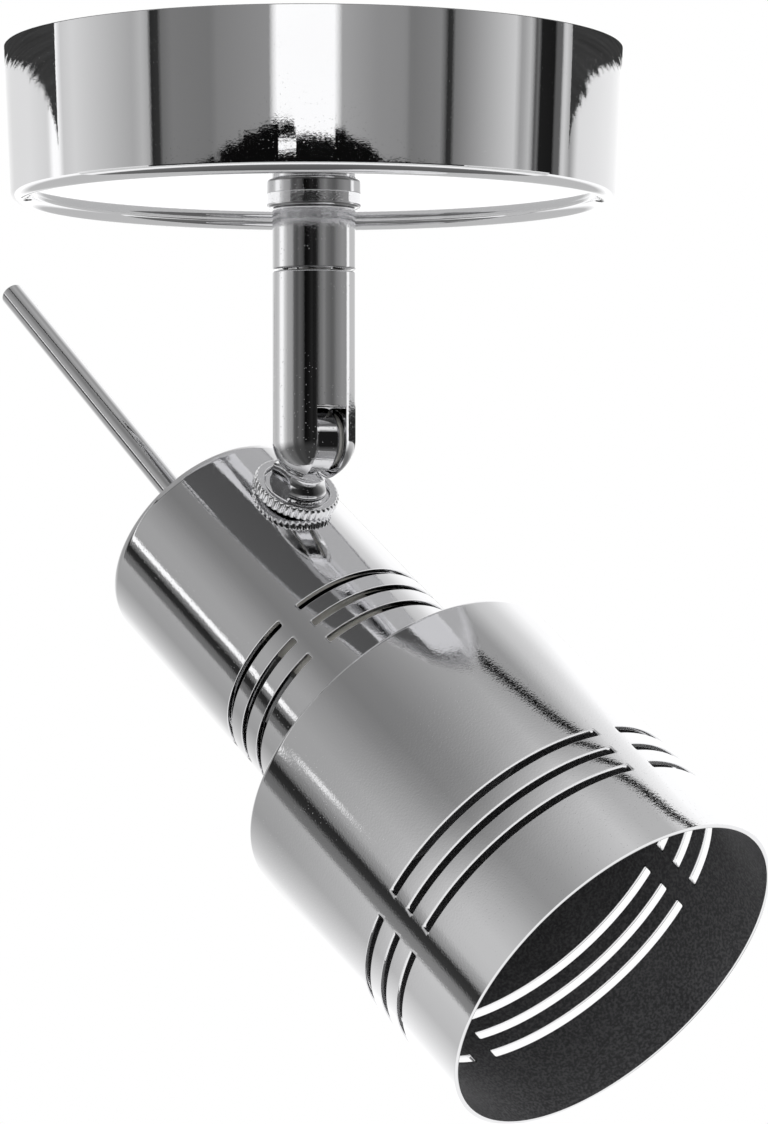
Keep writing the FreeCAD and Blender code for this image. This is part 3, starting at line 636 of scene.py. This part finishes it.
tongueSize = {
    "eye": 5.2,
    "eyeBore": 1.65,
    "thickness": 4.6,
    "eyeEdge": 0.7,
    "waist": [(pole, -2.0), (4.3, -2.0), (4.3, -4.6), (4.05, -5.4), (3.9, -6.1), (4.0, -6.7), (4.35, -7.15)],
    "toe": [(4.8, -7.45), (5.05, -7.9), (5.05, -8.9), (4.85, -9.3), (4.6, -10.0), (pole, -10.0)],
    "blockHalf": 3.2,
    "ballRoom": 7.1,
    "ballSegments": 96,
    "ballRings": 64,
    "foot": 5.3,
    "footTop": 9.75,
    "footBottom": 10.1,
    "stud": 4.0,
    "studBore": 2.4,
    "studEnd": 18.4,
    "studEdge": 0.3,
    "studLead": 0.1,
    "ease": 0.22,
    "easeSteps": 3,
    "easeAbove": 35,
    "sides": 128,
}


def bisected(piece, half):
    # keeps what lies between two planes across X
    for side in (-1, 1):
        edit(piece)
        bpy.ops.mesh.select_all(action="SELECT")
        bpy.ops.mesh.bisect(plane_co=(side * half * mm, 0, 0), plane_no=(side, 0, 0), use_fill=True,
                            clear_outer=True)
        bpy.ops.object.mode_set(mode="OBJECT")
    return piece


def makeTongue():
    # turned waist and toe with flat sides, an eye above, and the foot and hollow stud below
    size = tongueSize
    turned, half = size["waist"] + size["toe"], size["thickness"] / 2
    inner = bisected(lathe("inner", turned, size["sides"]), half)
    outer = bisected(lathe("outer", turned, size["sides"]), size["blockHalf"])
    clearSelection()
    bpy.ops.mesh.primitive_uv_sphere_add(segments=size["ballSegments"], ring_count=size["ballRings"],
                                         radius=size["ballRoom"] * mm)
    combine(outer, bpy.context.active_object, "DIFFERENCE", "MANIFOLD")
    eye = roundedCan(size["eye"], size["eyeEdge"], -half, half, size["eyeBore"])
    piece = lathe("knuckle_tongue_cast", eye, size["sides"], closed=True)
    setDown(piece, Matrix.Rotation(math.pi / 2, 4, "Y"))
    stud, edge, end = size["stud"], size["studEdge"], -size["studEnd"]
    foot, footTop, footBottom = size["foot"], -size["footTop"], -size["footBottom"]
    outline = [(size["studBore"], footTop - size["studLead"]), (size["studBore"], end)]
    outline += [(stud - edge, end), (stud, end + edge)]
    outline += [(stud, footBottom), (foot, footBottom), (foot, footTop), outline[0]]
    base = lathe("base", outline, size["sides"], closed=True)
    for part in (inner, outer, base):
        combine(piece, part, "UNION", "MANIFOLD")
    piece.data.materials.clear()  # the union leaves an empty slot behind
    easeEdges(piece, size["ease"], size["easeSteps"], size["easeAbove"])
    smooth(piece)
    setDown(piece, linkPlace)
    return finished(piece, "link", "chrome", linkChrome, "knuckle", "knuckle_tongue")


ringSize = {
    "radius": 7.2,
    "bottom": -11.35,
    "top": -9.15,
    "edge": 0.35,
    "recess": 5.6,
    "recessDepth": 1.0,
    "recessEdge": 0.15,
    "bore": 4.05,
    "teeth": 40,
    "toothSteps": 8,
    "grooveDepths": {3: 0.22, 4: 0.4, 5: 0.4, 6: 0.22},
    "ease": 0.05,
    "easeSteps": 1,
    "easeAbove": 30,
}


def makeRing():
    # knurled lock ring: the rim is turned first, then every groove is drawn in
    size = ringSize
    radius, edge, top, bottom = size["radius"], size["edge"], size["top"], size["bottom"]
    recess, lip, bore = size["recess"], size["recessEdge"], size["bore"]
    floor = top - size["recessDepth"]
    sides = size["teeth"] * size["toothSteps"]
    outline = [(bore, bottom), (radius - edge * 2, bottom), (radius, bottom + edge), (radius, top - edge)]
    outline += [(radius - edge, top), (radius - edge * 2, top), (recess + lip, top), (recess, top - lip)]
    outline += [(recess, floor), (bore, floor), outline[0]]
    piece = lathe("knurled_lock_ring", outline, sides, closed=True)
    step = 2 * math.pi / sides
    for place, depth in size["grooveDepths"].items():

        def inGroove(spot):
            index = round(math.atan2(spot.y, spot.x) / step) % size["toothSteps"]
            return index == place and spot.xy.length > (radius - edge / 2) * mm

        selectVerts(piece, inGroove)
        share = (radius - depth) / radius
        bpy.ops.transform.resize(value=(share, share, 1), center_override=(0, 0, 0))
        bpy.ops.object.mode_set(mode="OBJECT")
    easeEdges(piece, size["ease"], size["easeSteps"], size["easeAbove"])
    smooth(piece)
    setDown(piece, linkPlace)
    return finished(piece, "head", "chrome", linkChrome, "knuckle", "knurled_ring")


# Slotted tubes

quarter = 90  # degrees from slot to slot; each row has four slots, and bridges of metal between them
near = 0.01  # how closely a corner of a slot is told by its height; five times that by its angle and length
slotEase = {"steps": 2, "above": 50, "endSteps": 3}


def slotStations(slots):
    # each row's lower and upper edge
    middles = [slots["first"] + row * slots["pitch"] for row in range(slots["rows"])]
    return [(middle - slots["width"] / 2, middle + slots["width"] / 2) for middle in middles]


def cutSlots(piece, slots, wall, edge):
    # slots are deleted from the outer skin, then the wall grows inwards and its edges are eased
    for material in (headChrome, insideCoat):
        piece.data.materials.append(material)
    step = 360 / slots["sides"]
    bridge = slots["bridgeSteps"] * step
    stations = slotStations(slots)

    def inSlot(spot):
        height = spot.z / mm
        if not any(low < height < high for low, high in stations):
            return False
        angle = (math.degrees(math.atan2(spot.y, spot.x)) - slots["middle"] + bridge / 2) % quarter
        return angle > bridge

    selectFaces(piece, inSlot)
    bpy.ops.mesh.delete(type="FACE")
    bpy.ops.object.mode_set(mode="OBJECT")
    applied(piece, "SOLIDIFY", thickness=wall * mm, offset=-1, use_even_offset=True, material_offset=1,
            material_offset_rim=0)
    roundSlotEnds(piece, slots, wall)
    easeEdges(piece, edge, slotEase["steps"], slotEase["above"])


def roundSlotEnds(piece, slots, wall):
    # the short edges through the wall, at each slot's corners
    stations = [height for pair in slotStations(slots) for height in pair]

    def atCorner(a, b):
        if abs(abs(a.xy.length - b.xy.length) / mm - wall) > 5 * near or abs(a.z - b.z) > near * mm:
            return False
        if min(abs(a.z / mm - height) for height in stations) > near:
            return False
        angle = (math.degrees(math.atan2(a.y, a.x)) - slots["middle"]) % quarter
        end = slots["bridgeSteps"] * 180 / slots["sides"]
        return min(abs(angle - end), abs(angle - quarter + end)) < 5 * near

    selectEdges(piece, atCorner)
    bpy.ops.mesh.bevel(offset=slots["endRound"] * mm, segments=slotEase["endSteps"], profile=0.5,
                       clamp_overlap=True)
    bpy.ops.object.mode_set(mode="OBJECT")


def stretch(radius, start, end, longest):
    # rings along a straight wall, none further apart than the longest step
    count = max(1, math.ceil(abs(end - start) / longest))
    return [(radius, start + (end - start) * step / count) for step in range(1, count + 1)]


def cupOutline(size, slots):
    # out across the back, round its edge and along the wall to the front, with a ring at each edge of a slot
    radius, back, turn = size["radius"], size["back"], size["backRound"]
    outline = [(ring, back) for ring in size["backRings"]]
    outline += roundCorner((radius - turn, back), (radius, back), (radius, back + turn), size["roundSteps"])
    height = back + turn
    for low, high in slotStations(slots):
        outline += stretch(radius, height, low, size["longest"]) + [(radius, high)]
        height = high
    return outline + stretch(radius, height, size["front"], size["longest"])


housingSize = {
    "radius": 20.0,
    "wall": 1.0,
    "back": -15.2,
    "front": 41.7,
    "backRound": 2.5,
    "backRings": (1.75, 6, 12),
    "roundSteps": 12,
    "lip": 15.2,
    "neckHole": 4.05,
    "neckWay": 12,
    "neckSides": 64,
    "edge": 0.12,
    "longest": 3.0,
}

housingSlots = {
    "first": 21.0,
    "pitch": 4.15,
    "rows": 3,
    "width": 1.3,
    "middle": 45.0,
    "bridgeSteps": 8,
    "sides": 264,
    "endRound": 0.3,
}


def makeHousing():
    # rear tube: domed edge behind with the rod's hole, slots over the lampholder, a lip in front
    size, slots = housingSize, housingSlots
    piece = lathe("rear_tube", cupOutline(size, slots) + [(size["lip"], size["front"])], slots["sides"],
                  math.radians(slots["middle"]), closed=True)
    cutSlots(piece, slots, size["wall"], size["edge"])
    neck = crossBar(size["neckHole"], size["neckWay"], size["neckSides"], (size["radius"], 0, 0))
    combine(piece, neck, "DIFFERENCE")
    smooth(piece)
    setDown(piece, headPlace)
    return finished(piece, "head", "chrome", headChrome, "head", "rear_housing")


shadeSize = {
    "radius": 30.3,
    "wall": 0.7,
    "back": 41.7,
    "front": 97.0,
    "backRound": 0.9,
    "backRings": (15.2, 19, 24),
    "roundSteps": 6,
    "edge": 0.1,
    "longest": 4.0,
}

shadeSlots = {
    "first": 74.4,
    "pitch": 4.15,
    "rows": 3,
    "width": 1.45,
    "middle": -6.5,
    "bridgeSteps": 7,
    "sides": 288,
    "endRound": 0.3,
}


def makeShade():
    # wide front cup, chromed outside and over its rim, dark inside
    size, slots = shadeSize, shadeSlots
    bridge = slots["bridgeSteps"] * 360 / slots["sides"]
    turned = math.radians(slots["middle"] - bridge / 2)
    piece = lathe("lamp_shade", cupOutline(size, slots), slots["sides"], turned, closed=True)
    cutSlots(piece, slots, size["wall"], size["edge"])
    smooth(piece)
    setDown(piece, headPlace)
    return finished(piece, "head", "chrome_shade", headChrome, "head", "front_shade")


# Pull rod

rodSize = {
    "radius": 2.1,
    "tip": -83.8,
    "base": -15.2,
    "edge": 0.4,
    "tipFlat": 1.2,
    "longest": 12,
    "spare": 0.5,
    "stud": 1.7,
    "studStart": -16.2,
    "studEnd": -9.4,
    "studEdge": 0.2,
    "lean": 2.8,
    "leanSide": -41.6,
    "sides": 96,
}


def makeRod():
    # a handle that leans a little at its seat, with a straight stud inside the tube
    size = rodSize
    radius, edge, base, spare = size["radius"], size["edge"], size["base"], size["spare"]
    reach = base - size["tip"]
    outline = [(pole, -reach), (size["tipFlat"], -reach)]
    outline += roundCorner((radius - edge, -reach), (radius, -reach), (radius, edge - reach))
    outline += stretch(radius, edge - reach, spare, size["longest"]) + [(pole, spare)]
    piece = lathe("pull_rod_bar", outline, size["sides"])
    aside = Matrix.Rotation(math.radians(size["leanSide"]), 4, "Z")
    lean = aside @ Matrix.Rotation(math.radians(-size["lean"]), 4, "Y")
    setDown(piece, Matrix.Translation((0, 0, base * mm)) @ lean)
    edit(piece)
    bpy.ops.mesh.select_all(action="SELECT")
    bpy.ops.mesh.bisect(plane_co=(0, 0, base * mm), plane_no=(0, 0, 1), use_fill=True, clear_outer=True)
    bpy.ops.object.mode_set(mode="OBJECT")
    stud, edge, start, end = size["stud"], size["studEdge"], size["studStart"], size["studEnd"]
    outline = [(pole, start), (stud, start), (stud, end - edge), (stud - edge, end), (pole, end)]
    combine(piece, lathe("stud", outline, size["sides"]), "UNION")
    smooth(piece)
    setDown(piece, headPlace)
    return finished(piece, "head", "chrome", headChrome, "head", "pull_rod")


makers = (makeCanopy, makeCollar, makeUpperStem, makeLowerStem, makeTongue, makeRing)
for make in (*makers, makeHousing, makeShade, makeRod):
    make()
print("chrome pieces modelled")


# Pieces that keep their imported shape

plainFinishes = {
    "chrome": stemChrome,
    "chrome_shade": headChrome,
    "zinc_steel": zincPlate,
    "plain_brass": brass,
    "terminal_plastic": blockPlastic,
    "nylon": nylon,
    "ceramic": ceramic,
}

wallsOfBody = {"root": "canopy", "stem": "stem", "link": "knuckle", "head": "head"}

for part in frame["record"]["subparts"]:
    node = nodes[part["node"]]
    for place in range(len(node.material_slots)):
        node.material_slots[place].material = plainFinishes[part["material_slot"]]
for body, members in frame["record"]["behaviour"]["bodies"].items():
    seenWalls[wallsOfBody[body]] += [nodes[member] for member in members]
print("packed pieces finished")


# Studio

studio = {
    "wallCentre": (0.0, 0.0, -80.0),
    "wallSegments": 48,
    "floorDepth": -450.0,
    "floorHalf": 1500.0,
    "floorPaint": 0.88,
    "floorFade": [(0.45, 0.0), (0.95, 1.0)],
    "plainLevel": 0.75,
    "plating": 0.83,
}

cameraSize = {
    "place": (-277.9, -529.1, -83.04),
    "turn": -28.8,
    "lens": 118.01,
    "clip": (0.01, 20),
}

lamps = {
    "key lamp": {"place": (-700, -500, 450), "size": 500, "power": 5},
    "fill lamp": {"place": (700, -300, 100), "size": 600, "power": 2},
}


def makeCamera():
    data = bpy.data.cameras.new("camera")
    data.lens = cameraSize["lens"]
    data.clip_start, data.clip_end = cameraSize["clip"]
    camera = bpy.data.objects.new("camera", data)
    scene.collection.objects.link(camera)
    camera.location = Vector(cameraSize["place"]) * mm
    camera.rotation_euler = (math.pi / 2, 0, math.radians(cameraSize["turn"]))
    scene.camera = camera


# The round walls that each part of the light mirrors, turned about that part's own axis. Stops are
# (degrees from the camera's side towards the right, grey from 0 to 255 as the plating shows it). Lift is
# the share of the radius along the axis, and "below" and "above" fade a wall out towards its two ends.
# The greys were read off the photo's reflections along a few lines, then set and rounded.
canopyWalls = {
    "axis": Vector((0, 0, 1)),
    "radius": 640.0,
    "outermost": True,
    "stops": [
        (-180, 90), (-176, 90), (-173, 240), (-150, 215), (-128, 220), (-113, 210),  # dark seam, pale back
        (-110, 255), (-106, 255), (-103, 200), (-96, 210),  # lamp
        (-67, 165), (-63, 180), (-60.5, 165), (-59.5, 40), (-56, 50),  # left wall, flag
        (-55, 105), (-51, 120), (-36, 115), (-34, 125), (-15, 140),  # grey screen
        (-13.5, 255), (7.5, 255),  # large lamp over the camera
        (9.5, 160), (22, 140), (32, 135), (34, 115), (46, 130),  # grey screen
        (47, 40), (49.5, 50), (50.5, 115), (76, 200), (79, 150), (84, 190),  # flag, right wall
        (85, 60), (87.5, 110), (88.5, 30), (96, 25), (97, 90), (100.5, 95),  # two flags
        (101.5, 215), (107, 150), (112, 220), (140, 230), (172, 250), (175, 90), (180, 90),  # pale back, seam
    ],
    "above": [(0.5, 0.0), (0.8, 1.0)],
    "aboveGrey": 150,
}

stemWalls = {
    "axis": Vector((0, 0, 1)),
    "radius": 630.0,
    "outermost": False,
    "stops": [
        (-180, 255), (-140, 190), (-130, 180), (-114, 195), (-105, 250), (-96, 250),  # pale back, lamp
        (-88, 205), (-77, 165), (-62, 150), (-56, 90), (-48, 75), (-39, 90), (-30, 70),  # left wall, screen
        (-24, 10), (-14, 20), (-5, 35), (3, 20), (9, 50),  # the dark round the camera
        (17, 105), (28, 125), (36, 105), (50, 90), (56, 95), (66, 120), (85, 140), (101, 140),  # right wall
        (106, 250), (113, 250), (118, 190), (150, 190), (165, 240), (180, 255),  # lamp, pale back
    ],
    "below": [(0.0, 0.0), (0.04, 0.0), (0.3, 0.8)],
    "belowGrey": 60,
    "above": [(0.3, 0.0), (0.6, 1.0)],
    "aboveGrey": 190,
}

knuckleWalls = {
    "axis": Vector((0, 0, 1)),
    "radius": 625.0,
    "outermost": False,
    "stops": [
        (-180, 250), (-130, 190), (-100, 240), (-70, 120), (-40, 90), (-10, 60), (15, 45), (30, 25), (60, 25),
        (80, 70), (100, 120), (125, 230), (180, 250),
    ],
    "below": [(0.0, 0.0), (0.35, 0.0), (0.7, 1.0)],
    "belowGrey": 110,
    "above": [(0.42, 0.0), (0.55, 1.0)],
    "aboveGrey": 225,
}

headWalls = {
    "axis": -towardsMouth,
    "radius": 620.0,
    "outermost": False,
    "stops": [
        (-180, 60), (-176, 110), (-172, 235), (-160, 235), (-150, 230), (-136, 205),  # dark seam, pale back
        (-120, 180), (-105, 155), (-90, 160), (-82, 165), (-80, 110), (-74, 100),  # left wall
        (-72, 45), (-65.5, 35), (-64, 110), (-59, 135), (-56, 155), (-48, 160), (-36, 160),  # flag, screen
        (-20, 145), (-10, 130), (0, 120), (14, 125), (30, 140), (45, 155), (60, 165),  # broad grey screen
        (75, 150), (90, 150), (96, 170), (104, 195), (115, 210), (126, 235), (136, 250),  # right wall
        (171, 250), (175, 120), (180, 60),  # pale back, dark seam
    ],
    "below": [(0.0, 0.0), (0.2, 0.0), (0.5, 1.0)],
    "belowGrey": 200,
    "above": [(0.7, 0.0), (0.9, 1.0)],
    "aboveGrey": 150,
}


# What is painted into the canopy's glowing walls for the canopy to mirror, in degrees and lifts: a painted
# reflection of the floor far off and near, a dark ragged stand with a small window, the strip round the stem's
# top, and flags hung high at both sides
canopySights = {
    "farStart": 95.0,
    "farFloor": [(0.0, 255), (0.13, 255), (0.25, 185), (1.0, 185)],
    "nearFloor": [(0.0, 225), (0.08, 215), (0.12, 160), (0.16, 245), (0.34, 245), (0.42, 105), (1.0, 85)],
    "nearTop": 0.1,
    "stripLift": -0.01,
    "stripHalf": 0.016,
    "standTop": [
        (-62, 0.0), (-58, 0.08), (-43, 0.08), (-34, 0.30), (-26, 0.66), (-19, 1.0), (-7.5, 0.95),
        (-5.5, 0.6), (7, 0.58), (9, 0.78), (17, 0.5), (25, 0.08), (52, 0.08), (56, 0.0),
    ],
    "standEnd": 0.02,
    "standLow": 0.104,
    "standHigh": 0.128,
    "standGrey": 10,
    "ragged": 0.5,
    "raggedAround": 66.0,
    "raggedUp": 190.0,
    "windowMiddle": -9.3,
    "windowHalf": 3.1,
    "windowLift": 0.1128,
    "windowHalfLift": 0.004,
    "flagStart": 106.0,
    "flagBottom": 0.152,
    "flagCurve": 0.0125,
    "flagRagged": 0.03,
    "flagGrey": 50,
    "flagStreak": 0.07,
    "streakAround": 9.0,
    "streakUp": 570.0,
    "streakDark": 0.4,
}


def canopyDetails(start, level, azimuth, lift):
    sights = canopySights
    degrees = azimuth * 360 - 180
    far = start.above(start.maths("ABSOLUTE", degrees), sights["farStart"])
    level = laid(level, start.ramp(lit(sights["farFloor"]), lift * -1), far * start.below(lift, 0.0))
    under = (1 - far) * start.below(lift, sights["nearTop"])
    level = laid(level, start.ramp(lit(sights["nearFloor"]), lift * -1), under)
    # the stem's top meets this strip by way of the plate, so the stem's own walls go on in it
    strip = start.within(lift, sights["stripLift"], sights["stripHalf"]) * (1 - far)
    level = laid(level, wallLevel(start, azimuth, stemWalls["stops"]), strip)
    # the stand
    ragged = wallNoise(start, azimuth * sights["raggedAround"], lift * sights["raggedUp"], 5.0)
    outline = start.ramp([((place + 180) / 360, high) for place, high in sights["standTop"]], azimuth)
    rise = sights["standHigh"] - sights["standLow"]
    rough = (ragged - 0.5) * (2 * sights["ragged"] * rise)
    stand = start.below(lift, outline * rise + rough + sights["standLow"])
    stand = stand * start.above(outline, sights["standEnd"]) * start.above(lift, 0.0)
    window = start.within(degrees, sights["windowMiddle"], sights["windowHalf"])
    window = window * start.within(lift, sights["windowLift"], sights["windowHalfLift"])
    level = laid(level, (1 - window) * shown(sights["standGrey"]) + window, stand)
    # the flags
    streak = wallNoise(start, azimuth * sights["streakAround"], lift * sights["streakUp"], 3.0)
    side = start.maths("ABSOLUTE", degrees) - sights["flagStart"]
    curve = start.maths("POWER", start.maths("MAXIMUM", side, 0.0), 0.5) * sights["flagCurve"]
    edge = curve + sights["flagBottom"] + (streak - 0.5) * sights["flagRagged"]
    flag = start.above(lift, edge) * start.above(side, 0.0)
    light = (streak - sights["streakDark"]) * sights["flagStreak"] + shown(sights["flagGrey"])
    return laid(level, light, flag)


# The stem's walls have a dark patch low on the right, where the far ear of the fork looks
stemSights = {
    "patchStart": 112.0,
    "patchTop": 0.077,
    "patchBottom": 0.005,
    "patchGrey": 40,
}


def stemDetails(start, level, azimuth, lift):
    sights = stemSights
    patch = start.below(lift, sights["patchTop"]) * start.above(lift, sights["patchBottom"])
    patch = patch * start.above(azimuth, (sights["patchStart"] + 180) / 360)
    return laid(level, shown(sights["patchGrey"]), patch)


# A lamp that the rear tube mirrors, a smaller one for the back of the shade, a dark edge, and a glow
# towards the mouth
headSights = {
    "tubeLamp": {"place": -57.5, "half": 3.2, "lifts": [(0.47, 0.0), (0.50, 1.0)]},
    "shadeLamp": {"place": -52.5, "half": 2.2, "lifts": [(0.425, 0.0), (0.45, 0.9), (0.47, 0.0)]},
    "lampFade": [(0.55, 1.0), (1.0, 0.0)],
    "lineMiddle": 83.0,
    "lineLift": 0.42,
    "lineDrift": 220.0,
    "lineHalf": 3.4,
    "lineGrey": 10,
    "glow": [(0.35, 0.5), (0.45, 0.0)],
}


def headDetails(start, level, azimuth, lift):
    sights = headSights
    degrees = azimuth * 360 - 180
    level = start.maths("MINIMUM", level * (1 + start.ramp(sights["glow"], lift)), 1.0)
    for lamp in (sights["tubeLamp"], sights["shadeLamp"]):
        away = start.maths("ABSOLUTE", degrees - lamp["place"]) / lamp["half"]
        level = laid(level, 1.0, start.ramp(sights["lampFade"], away) * start.ramp(lamp["lifts"], lift))
    middle = (sights["lineLift"] - lift) * sights["lineDrift"] + sights["lineMiddle"]
    return laid(level, shown(sights["lineGrey"]), start.within(degrees, middle, sights["lineHalf"]))


canopyWalls["details"] = canopyDetails
stemWalls["details"] = stemDetails
headWalls["details"] = headDetails


def laid(under, over, share):
    # one level over another, where the share is 1
    return under * (1 - share) + share * over


def wallNoise(start, across, up, detail):
    return start.noise(start.node("CombineXYZ", None, {"X": across, "Y": up}), 1.0, detail)


def shown(greyLevel):
    # a grey from 0 to 255 as the screen shows it, turned into plain light from 0 to 1
    return ((greyLevel / 255 + 0.055) / 1.055) ** 2.4


def lit(stops):
    # stops with their greys turned into light
    return [(place, shown(level)) for place, level in stops]


def wallLevel(start, azimuth, stops):
    # a colour ramp holds 32 stops, so the left and right halves have one each
    halves = []
    for side in (-1, 1):
        own = [(degrees, level) for degrees, level in stops if degrees * side >= 0]
        if own[0][0] * own[-1][0] != 0:
            across = min((stop for stop in stops if stop[0] * side < 0), key=lambda stop: abs(stop[0]))
            own = sorted(own + [(0, across[1])])
        halves.append(start.ramp(lit([((degrees + 180) / 360, level) for degrees, level in own]), azimuth))
    return laid(halves[0], halves[1], start.above(azimuth, 0.5))


def makeWalls(name, walls):
    # a glowing shell that only its own pieces mirror; the rest see through it
    clearSelection()
    radius = walls["radius"] * mm
    centre = Vector(studio["wallCentre"]) * mm
    segments = studio["wallSegments"]
    bpy.ops.mesh.primitive_uv_sphere_add(segments=segments, ring_count=segments // 2, radius=radius)
    shell = bpy.context.active_object
    shell.name = name + "_walls"
    shell.location = centre
    bpy.ops.object.transform_apply(location=True, rotation=True, scale=True)
    material, start = startMaterial(name + " walls")
    spot = start.node("TexCoord", None, None, "Object")
    middle = start.node("VectorMath", {"operation": "SUBTRACT"}, {0: spot, 1: centre})
    axis = walls["axis"]
    front = Vector(cameraSize["place"]) * mm - centre
    front = (front - axis * front.dot(axis)).normalized()
    towards = start.node("VectorMath", {"operation": "DOT_PRODUCT"}, {0: middle, 1: front}, "Value")
    right = start.node("VectorMath", {"operation": "DOT_PRODUCT"}, {0: middle, 1: axis.cross(front)}, "Value")
    lift = start.node("VectorMath", {"operation": "DOT_PRODUCT"}, {0: middle, 1: axis}, "Value") / radius
    azimuth = start.maths("ARCTAN2", right, towards) / (2 * math.pi) + 0.5
    level = wallLevel(start, azimuth, walls["stops"])
    for end, way in (("below", -1), ("above", 1)):
        if end in walls:
            level = laid(level, shown(walls[end + "Grey"]), start.ramp(walls[end], lift * way))
    if "details" in walls:
        level = walls["details"](start, level, azimuth, lift)
    glow = start.node("Emission", None, {"Color": level, "Strength": 1 / studio["plating"]})
    if not walls["outermost"]:
        glow = start.node("AddShader", None, {0: glow, 1: start.node("BsdfTransparent")})
    start.node("OutputMaterial", None, {"Surface": glow})
    material.cycles.emission_sampling = "NONE"
    shell.data.materials.append(material)
    for way in ("camera", "diffuse", "transmission", "volume_scatter", "shadow"):
        setattr(shell, "visible_" + way, False)
    mirrors = bpy.data.collections.new(name + " pieces")
    for piece in seenWalls[name]:
        mirrors.objects.link(piece)
    shell.light_linking.receiver_collection = mirrors


def makeFloor():
    clearSelection()
    half, depth = studio["floorHalf"] * mm, studio["floorDepth"] * mm
    bpy.ops.mesh.primitive_plane_add(size=2 * half, location=(0, 0, depth))
    floor = bpy.context.active_object
    floor.name = "floor"
    material, start = startMaterial("pale floor")
    spot = start.node("TexCoord", None, None, "Object")
    away = start.node("VectorMath", {"operation": "LENGTH"}, {0: spot}, "Value")
    far = start.ramp(studio["floorFade"], away / half)
    paint = start.node("BsdfDiffuse", None, {"Color": asColour(studio["floorPaint"])})
    glow = start.node("Emission", None, {"Color": asColour(1.0), "Strength": 1.0})
    mixed = start.node("MixShader", None, {0: far, 1: paint, 2: glow})
    start.node("OutputMaterial", None, {"Surface": mixed})
    floor.data.materials.append(material)
    floor.visible_glossy = False


def makeWorld():
    world = bpy.data.worlds.new("studio")
    scene.world = world
    world.use_nodes = True
    tree = world.node_tree
    tree.nodes.clear()
    start = Wire(tree)
    rays = start.node("LightPath", None, None, "Is Camera Ray")
    sources = rays.socket.node.outputs
    seen = start.maths("MAXIMUM", rays, Wire(tree, sources["Is Glossy Ray"]))
    seen = start.maths("MAXIMUM", seen, Wire(tree, sources["Is Transmission Ray"]))
    white = start.node("Background", None, {"Color": asColour(1.0), "Strength": 1.0})
    plain = start.node("Background", None, {"Color": asColour(1.0), "Strength": studio["plainLevel"]})
    mixed = start.node("MixShader", None, {0: seen, 1: plain, 2: white})
    start.node("OutputWorld", None, {"Surface": mixed})


def makeLamp(name, place, size, power):
    data = bpy.data.lights.new(name, "AREA")
    data.shape, data.size, data.energy = "DISK", size * mm, power
    lamp = bpy.data.objects.new(name, data)
    scene.collection.objects.link(lamp)
    lamp.location = Vector(place) * mm
    lamp.rotation_euler = (-(lamp.location - headCentre)).to_track_quat("-Z", "Y").to_euler()
    lamp.visible_glossy = False


makeCamera()
makeWalls("canopy", canopyWalls)
makeWalls("stem", stemWalls)
makeWalls("knuckle", knuckleWalls)
makeWalls("head", headWalls)
makeFloor()
makeWorld()
for name, lamp in lamps.items():
    makeLamp(name, lamp["place"], lamp["size"], lamp["power"])
scene.view_settings.view_transform = "Standard"
print("studio ready")
